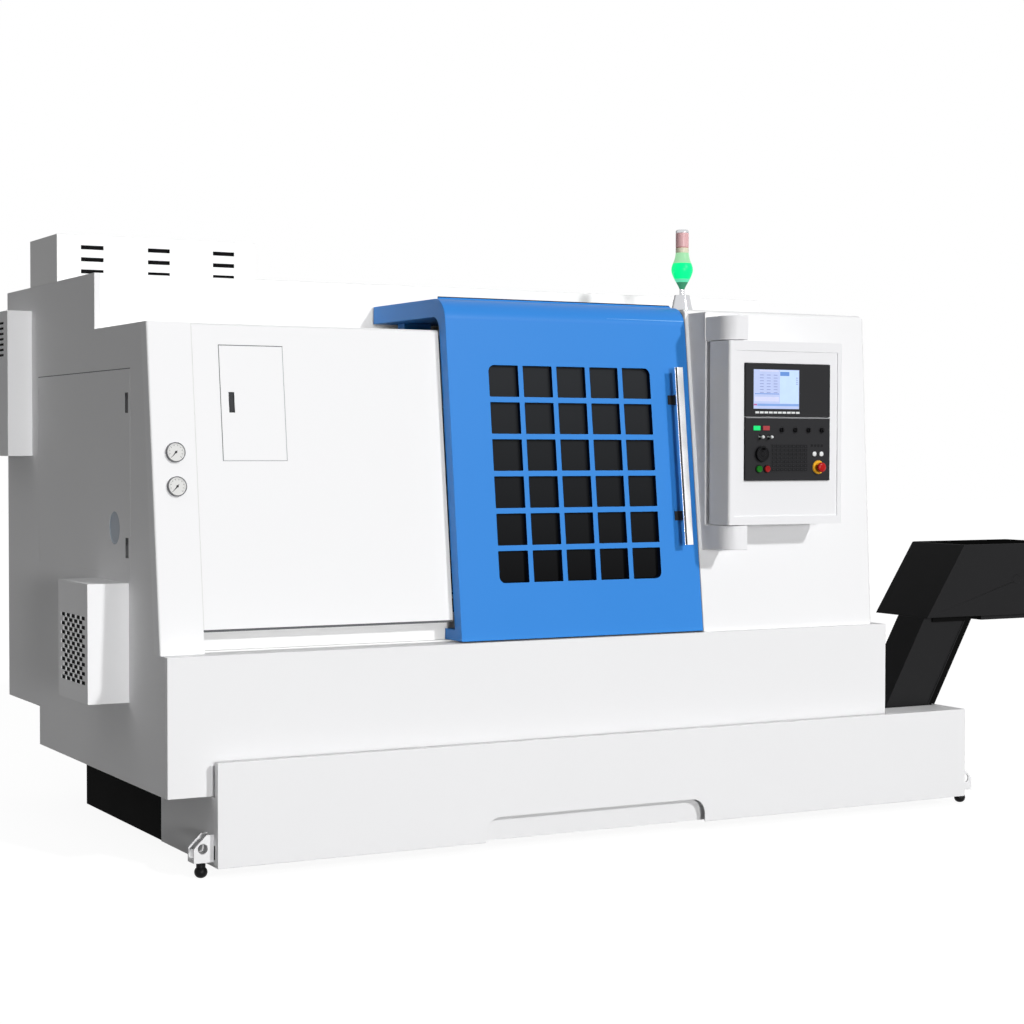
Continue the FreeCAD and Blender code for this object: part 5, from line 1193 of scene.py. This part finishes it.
    def buttons(self) -> None:
        """Adds the emergency stop, the start and hold buttons and the lamps."""
        shop, panel, face = self.shop, self.panel, UNIT_FACE
        centre = (self.stop[0], face, self.stop[1])
        shop.turn(Piece("stop_collar", Finish.YELLOW, panel, sharp=40),
                [(-3.1, 7), (-3.6, 24), (-3.4, 26), (-0.5, 27.5), (0.2, 27.5), (0.2, 7)], centre, 56)
        shop.turn(Piece("stop_head", Finish.RED, "emergency_stop", ("emergency_stop",), 50),
                [(13, 0), (13, 4.9), (-7.4, 4.9), (-7.6, 12), (-17, 13.5), (-19, 17.5), (-22, 19.5),
                (-26.5, 19), (-29.4, 15.5), (-30.6, 9.5), (-30.65, 0)], centre, 56)
        for name, node, x, finish in (("start_cap", "cycle_start_button", 2378, GREEN_BUTTON),
                ("hold_cap", "feed_hold_button", 2416, Finish.RED_CAP)):
            centre = (x, face, self.button_height)
            shop.turn(Piece(name, finish, node, (node,), 40),
                    [(13, 0), (13, 4.9), (-3.4, 4.9), (-3.5, 12.6), (-8.6, 12.8), (-10.1, 11.4), (-9.4, 8),
                    (-9.2, 0)], centre, 40)
            shop.turn(Piece(f"{name}_collar", Finish.KNOB, panel, sharp=40),
                    [(-2.6, 13.4), (-2.8, 15), (-1.6, 16.5), (0.2, 16.5), (0.2, 13.4), (-2.6, 13.4)],
                    centre, 40)
        for i, x in enumerate((2646, 2680)):
            shop.turn(Piece(f"pilot_lamp_{i + 1}", Finish.LAMP_WHITE, panel, sharp=50),
                    [(0.2, 9.4), (-3.0, 9.4), (-4.4, 7.5), (-4.8, 0)], (x, face, self.pilot_height), 32)
        for name, x, finish in (("cycle_lamp", 2368, GREEN_LAMP), ("alarm_lamp", 2412, Finish.ALARM)):
            shop.boxes(Piece(name, finish, panel),
                    ((x - 16, face - 4, 1573), (x + 16, face + 0.2, 1591)), 1.6)

    def selector(self, name: str, node: str, x: float) -> None:
        """Adds one selector knob and its ticks on the panel.

        Args:
            name: name of the knob's piece.
            node: its CAD node.
            x: its place across the panel.
        """
        face, z = UNIT_FACE, self.knob_height
        knob = Shape().turned(capped((13, 4.9), (-0.5, 4.9), (-0.6, 9.9), (-6.5, 9.6), (-7.9, 8.6)), Axis.Y,
                (x, face, z), 36)
        knob.block((x - 2.6, face - 15.3, z - 8.2), (x + 2.6, face - 7.7, z + 8.2), 1.0)
        self.shop.add(Piece(name, Finish.KNOB, node, (node,), 40), knob)
        ticks = Shape().block((12.5, -0.6, -0.35), (15.5, 0.6, 0.35))
        self.shop.spin(Piece(f"{name}_ticks", Finish.KEY, self.panel), ticks, 12,
                (x, face - 0.1, z), TO_FRONT)

    def lever(self, name: str, node: str, x: float) -> None:
        """Adds one bat lever with its pale ball.

        Args:
            name: name of the lever's pieces.
            node: its CAD node.
            x: its place across the panel.
        """
        pivot = (x, UNIT_FACE + 4.3, self.lever_height)
        self.shop.turn(Piece(f"{name}_rod", Finish.LAMP_WHITE, node, (node,), 50),
                capped((4, 2), (2, 4), (-2, 4), (-4, 2), (-8, 2.8), (-24, 2.8)), pivot, 24)
        self.shop.turn(Piece(f"{name}_tip", Finish.LAMP_WHITE, node, sharp=50),
                [(-21.5, 0), (-21.8, 3), (-24, 5.6), (-28, 6.9), (-32, 5.6), (-34.2, 3), (-34.6, 0)],
                pivot, 24)

    def handwheel(self) -> None:
        """Adds the hand wheel with a knurled rim, its crank and its scale."""
        node, face, (x, z) = "handwheel", UNIT_FACE, self.wheel
        self.shop.turn(Piece("jog_wheel", Finish.KNOB, node, (node,), 30),
                capped((13, 4.9), (-0.5, 4.9), (-0.6, 29.6), (-13.5, 29.6), (-14.3, 28.4), (-14.3, 24),
                    (-12, 22), (-12, 12), (-14.3, 10)), (x, face, z), 72)
        tooth = Shape().block((29.2, -0.9, 1.2), (30.4, 0.9, 13.4), 0.3)
        self.shop.spin(Piece("jog_wheel_knurl", Finish.KNOB, node), tooth, 40, (x, face, z), TO_FRONT)
        self.shop.turn(Piece("jog_wheel_crank", Finish.KNOB, node, sharp=50),
                capped((-12, 3), (-16, 4.2), (-30, 5), (-33, 3.5)), (x, face, z + 20), 24)
        ticks = Shape().block((32.5, -0.4, -0.3), (35.5, 0.4, 0.3))
        self.shop.spin(Piece("jog_wheel_scale", Finish.KEY, self.panel), ticks, 50,
                (x, face - 0.2, z), TO_FRONT)


@dataclass
class Gauges(Assembly):
    """Two dial gauges on the leaning column."""

    x: float = 86.0
    heights: Pair = (1484.0, 1364.0)
    scale_radius: float = 28.0
    scale_start: float = 225.0
    needle_angle: float = 228.0

    def build(self) -> None:
        """Adds bezels, dials, scales and needles."""
        hub = (0, 0, 0)
        for i, height in enumerate(self.heights):
            frame = leaning(PANEL_FOOT) @ Matrix.Translation((self.x, 0, along(height)))
            bezel = Shape(frame).turned([(-0.3, 33), (-0.3, 35.6), (-10, 35.6), (-13, 35), (-14, 33.6),
                    (-13.6, 32), (-10.8, 31.6), (-10.6, 33)], Axis.Y, hub, 64)
            dial = Shape(frame).turned(capped((-0.4, 33.2), (-11.1, 33.2)), Axis.Y, hub, 64)
            for name, shape, finish, replaces, sharp in (
                    ("bezel", bezel, Finish.BEZEL, ("dial_gauges",) if i == 0 else (), 40),
                    ("dial", dial, Finish.DIAL, (), SHARP),
                    ("scale", self.scale(frame), Finish.INK, (), SHARP),
                    ("needle", self.needle(frame), Finish.INK, (), SHARP)):
                self.shop.add(Piece(f"gauge_{i + 1}_{name}", finish, "dial_gauges", replaces, sharp), shape)

    def scale(self, frame: Matrix) -> Shape:
        """Ticks round a dial, every third one long.

        Args:
            frame: matrix from the dial's millimetres to the machine's.

        Returns:
            The shape.
        """
        marks = Shape(frame)
        for k in range(28):
            angle = math.radians(self.scale_start - k * 10)
            inner, half = (21.5, 0.5) if k % 3 == 0 else (25, 0.25)
            out = Vector((math.cos(angle), math.sin(angle)))
            side = Vector((-math.sin(angle), math.cos(angle))) * half
            near, far = out * inner, out * self.scale_radius
            marks.prism([near - side, far - side, far + side, near + side], Axis.Y, -11.3, -11.05)
        return marks

    def needle(self, frame: Matrix) -> Shape:
        """A tapered needle with its round hub.

        Args:
            frame: matrix from the dial's millimetres to the machine's.

        Returns:
            The shape.
        """
        lean = math.radians(self.needle_angle)
        tip = Vector((math.cos(lean), math.sin(lean)))
        side = Vector((-tip.y, tip.x))
        needle = Shape(frame).prism([tip * self.scale_radius, side * 2.3 - tip, tip * -9, side * -2.3 - tip],
                Axis.Y, -12.4, -11.9)
        return needle.turned([(-11.0, 0), (-11.0, 4.2), (-12.8, 4.2), (-13.0, 0)], Axis.Y, (0, 0, 0), 24)


@dataclass
class StackLight(Assembly):
    """Signal light on the right cover: cone, pole, lit green bulb, pale amber and red lenses, cap."""

    foot: Triple = (2300.0, 300.0, 2059.0)
    lens_edge: float = 25.6
    lens_radius: float = 26.6

    def build(self) -> None:
        """Replaces the CAD light by its separate rings, from the foot up."""
        edge, wide = self.lens_edge, self.lens_radius
        for name, finish, steps, rings in (
                ("light_base", Finish.CHROME, 56, ((0.2, 45), (3, 45.5), (64, 31.4), (66, 30))),
                ("light_pole", Finish.CHROME, 32, ((60, 10), (96, 10))),
                ("light_green_foot", GREEN_FOOT, 56, ((87, 9.5), (92, 10.6), (104, 16.5), (118, 24.5))),
                # This ring is a painted highlight across the lit bulb.
                ("light_green_highlight", GREEN_HIGHLIGHT, 56, ((118.2, 24.6), (124, 28), (131, 31.8))),
                ("light_green", GREEN_GLOW, 56, ((131.2, 31.9), (146, 38.6), (158, 42.6), (168, 44),
                    (178, 43.2), (188, 40.4), (195, 37.6))),
                ("light_green_pale", GREEN_PALE, 56, ((195.2, 37.5), (206, 33), (218, 29.4), (230, 27.3),
                    (237, 26.7))),
                ("light_amber", Finish.AMBER_LENS, 48,
                    ((237.2, edge), (240.2, wide), (255, wide), (258, edge))),
                ("light_red", Finish.RED_LENS, 48, ((260, edge), (263, wide), (315, wide), (318, edge))),
                ("light_joint", Finish.ALARM, 48, ((257.6, 25.7), (260.4, 25.7))),
                ("light_cap", Finish.CHROME, 48, ((318, 26.8), (326, 26.4), (330.5, 22), (331.8, 12)))):
            replaces = ("stack_light",) if name == "light_base" else ()
            self.shop.turn(Piece(name, finish, "stack_light", replaces, 45), capped(*rings),
                    self.foot, steps, Axis.Z)


@dataclass
class ChipConveyor(Assembly):
    """Black casing, discharge hood, head shaft and gearmotor."""

    climb: float = math.radians(60.9)
    plate: float = 16.0
    lap: float = 9.0
    belly_foot: Pair = (3380.0, 215.0)
    belly_head: Pair = (3690.5, 773.0)
    motor: Triple = (3950.0, 492.0, 930.0)

    def build(self) -> None:
        """Dresses the conveyor and adds a band of painted shadow under the hood, a darker sheet of painted
        shade over the hood's top, the belly plate and the motor fins.
        """
        shop = self.shop
        shop.soften("conveyor_casing", Finish.BLACK, 1.6)
        shop.soften("conveyor_hood", Finish.BLACK, 2.4)
        shop.dress("conveyor_shaft", Finish.BLACK)
        for name, like, low, high, bevel in (
                # Both are painted shade: a dark band where the hood's shadow falls on the incline, and a
                # darker sheet over the hood's top.
                ("hood_painted_shadow", "conveyor_casing", (3490, 150.6, 758), (3688, 156.4, 777), 0.4),
                ("hood_top_shade", "conveyor_hood", (3659, 143, 1087.8), (4197, 489, 1089), 0.3)):
            shop.boxes(Piece(name, Finish.BLACK_PAINTED_SHADE, like), (low, high), bevel)
        self.belly()
        shop.dress("conveyor_gearmotor", Finish.MOTOR)
        fin = Shape().block((54, -1.2, 96), (66, 1.2, 205), 0.4)
        shop.spin(Piece("motor_fins", Finish.MOTOR, "conveyor_gearmotor"), fin, 28, self.motor, TO_BACK)

    def belly(self) -> None:
        """Adds the plate under the incline, with a lip that laps its front; its darker black is painted shade
        along the incline's lower edge.
        """
        away = Vector((math.sin(self.climb), -math.cos(self.climb)))
        foot, head = Vector(self.belly_foot), Vector(self.belly_head)
        outer = [foot + away * self.plate, head + away * self.plate]
        plate = Shape().prism([foot + away * 0.4, *outer, head + away * 0.4], Axis.Y, 152, 340, 0.8)
        plate.prism([foot - away * self.lap, *outer, head - away * self.lap], Axis.Y, 150.4, 151.8, 0.3)
        self.shop.add(Piece("incline_belly", Finish.BLACK_PAINTED_SHADE, "conveyor_casing"), plate)


@dataclass
class Studio:
    """Camera at the photograph's place, key and fill lamps, pale floor and world."""

    eye: Triple = (-2431.9, -6968.4, 1501.0)
    heading: float = 28.50
    down: float = 1.723
    roll: float = 0.002
    lens: float = 74.47
    sensor: float = 36.0
    sight: float = 100.0
    key_from: Triple = (0.272, -0.868, 0.415)
    key_power: float = 1.38
    key_width: float = 3.0
    fill_from: Triple = (-0.12, -0.99, 0.05)
    fill_power: float = 1.40
    fill_width: float = 8.0
    ambient: float = 0.42
    floor_shade: float = 0.2
    floor_glow: float = 0.93
    floor_reach: float = 40.0
    behind: Triple = (0.62, 0.92, 0.6)

    def build(self) -> None:
        """Sets up camera, lamps, floor and world."""
        self.camera()
        self.lamp("key_lamp", self.key_from, self.key_power, self.key_width)
        self.lamp("fill_lamp", self.fill_from, self.fill_power, self.fill_width)
        self.floor()
        self.world()

    def camera(self) -> None:
        """Makes the scene's camera."""
        yaw, pitch = math.radians(self.heading), math.radians(self.down)
        forward = Vector((math.sin(yaw) * math.cos(pitch), math.cos(yaw) * math.cos(pitch), -math.sin(pitch)))
        right = Vector((math.cos(yaw), -math.sin(yaw), 0))
        upward = right.cross(forward)
        level = right * math.cos(self.roll) + upward * math.sin(self.roll)
        upright = upward * math.cos(self.roll) - right * math.sin(self.roll)
        data = bpy.data.cameras.new("photo_camera")
        data.lens = self.lens
        data.sensor_width = self.sensor
        data.clip_end = self.sight
        camera = placed("photo_camera", data)
        turn = Matrix((level, upright, -forward)).transposed().to_4x4()
        camera.matrix_world = Matrix.Translation(row(*self.eye)) @ turn
        bpy.context.scene.camera = camera

    def lamp(self, name: str, source: Triple, power: float, width: float) -> None:
        """Makes a distant lamp.

        Args:
            name: name of the lamp.
            source: vector towards it.
            power: its strength.
            width: its width in degrees, which softens its shadows.
        """
        data = bpy.data.lights.new(name, "SUN")
        data.energy = power
        data.angle = math.radians(width)
        placed(name, data).rotation_euler = Vector(source).to_track_quat("Z", "Y").to_euler()

    def floor(self) -> None:
        """Makes a floor that is white to the eye and in reflections, and keeps a soft shadow."""
        mesh, far = bpy.data.meshes.new("studio_floor"), self.floor_reach
        mesh.from_pydata([(-far, -far, 0), (far, -far, 0), (far, far, 0), (-far, far, 0)], [], [(0, 1, 2, 3)])
        floor = placed("studio_floor", mesh)
        material = bpy.data.materials.new("studio_floor")
        material.use_nodes = True
        material.node_tree.nodes.clear()
        wiring = Wiring(material.node_tree)
        out = wiring.node("ShaderNodeOutputMaterial")
        matt = wiring.node("ShaderNodeBsdfDiffuse", {"Color": (*[self.floor_shade] * 3, 1.0)})
        white = wiring.node("ShaderNodeEmission", {"Strength": self.floor_glow})
        seen = wiring.node("ShaderNodeLightPath")
        either = wiring.math("MAXIMUM")
        both, mix = wiring.node("ShaderNodeAddShader"), wiring.node("ShaderNodeMixShader")
        wiring.join((seen, "Is Camera Ray", either, 0), (seen, "Is Glossy Ray", either, 1),
                (either, 0, mix, "Fac"), (matt, 0, mix, 1), (matt, 0, both, 0), (white, 0, both, 1),
                (both, 0, mix, 2), (mix, 0, out, "Surface"))
        mesh.materials.append(material)

    def world(self) -> None:
        """Makes a soft world, white to the eye and darker behind the machine in reflections."""
        world = bpy.data.worlds.new("studio")
        bpy.context.scene.world = world
        world.use_nodes = True
        wiring = Wiring(world.node_tree)
        back = world.node_tree.nodes["Background"]
        back.inputs["Color"].default_value = (1.0, 1.0, 1.0, 1.0)
        start, end, dimming = self.behind
        seen = wiring.node("ShaderNodeLightPath")
        first, second = wiring.math("MAXIMUM"), wiring.math("MAXIMUM")
        look = wiring.node("ShaderNodeTexCoord")
        height = wiring.node("ShaderNodeSeparateXYZ")
        sky = wiring.node("ShaderNodeMapRange", {"To Max": self.ambient})
        level = wiring.node("ShaderNodeMapRange")
        far = wiring.node("ShaderNodeMapRange", {"From Min": start, "From Max": end, "To Max": dimming})
        dimmed, left = wiring.math("MULTIPLY"), wiring.math("SUBTRACT", {0: 1.0})
        wiring.join((look, "Generated", height, 0), (height, "Z", sky, "Value"),
                (sky, "Result", level, "To Min"), (height, "Y", far, "Value"),
                (far, "Result", dimmed, 0), (seen, "Is Glossy Ray", dimmed, 1),
                (dimmed, 0, left, 1), (left, 0, level, "To Max"), (seen, "Is Camera Ray", first, 0),
                (seen, "Is Glossy Ray", first, 1), (first, 0, second, 0),
                (seen, "Is Transmission Ray", second, 1), (second, 0, level, "Value"),
                (level, "Result", back, "Strength"))


def main() -> None:
    """Builds the whole scene round the frame."""
    logging.basicConfig(level=logging.INFO, format="%(name)s: %(message)s")
    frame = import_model()
    bpy.context.scene.view_settings.view_transform = "Standard"
    shop = Workshop(frame)
    for kind in (Enclosure, TankAndBed, SideBoxes, SlidingDoor, Pendant, Gauges, StackLight, ChipConveyor):
        LOG.info("building %s", kind.__name__)
        kind(shop).build()
    Studio().build()


if __name__ == "__main__":
    main()
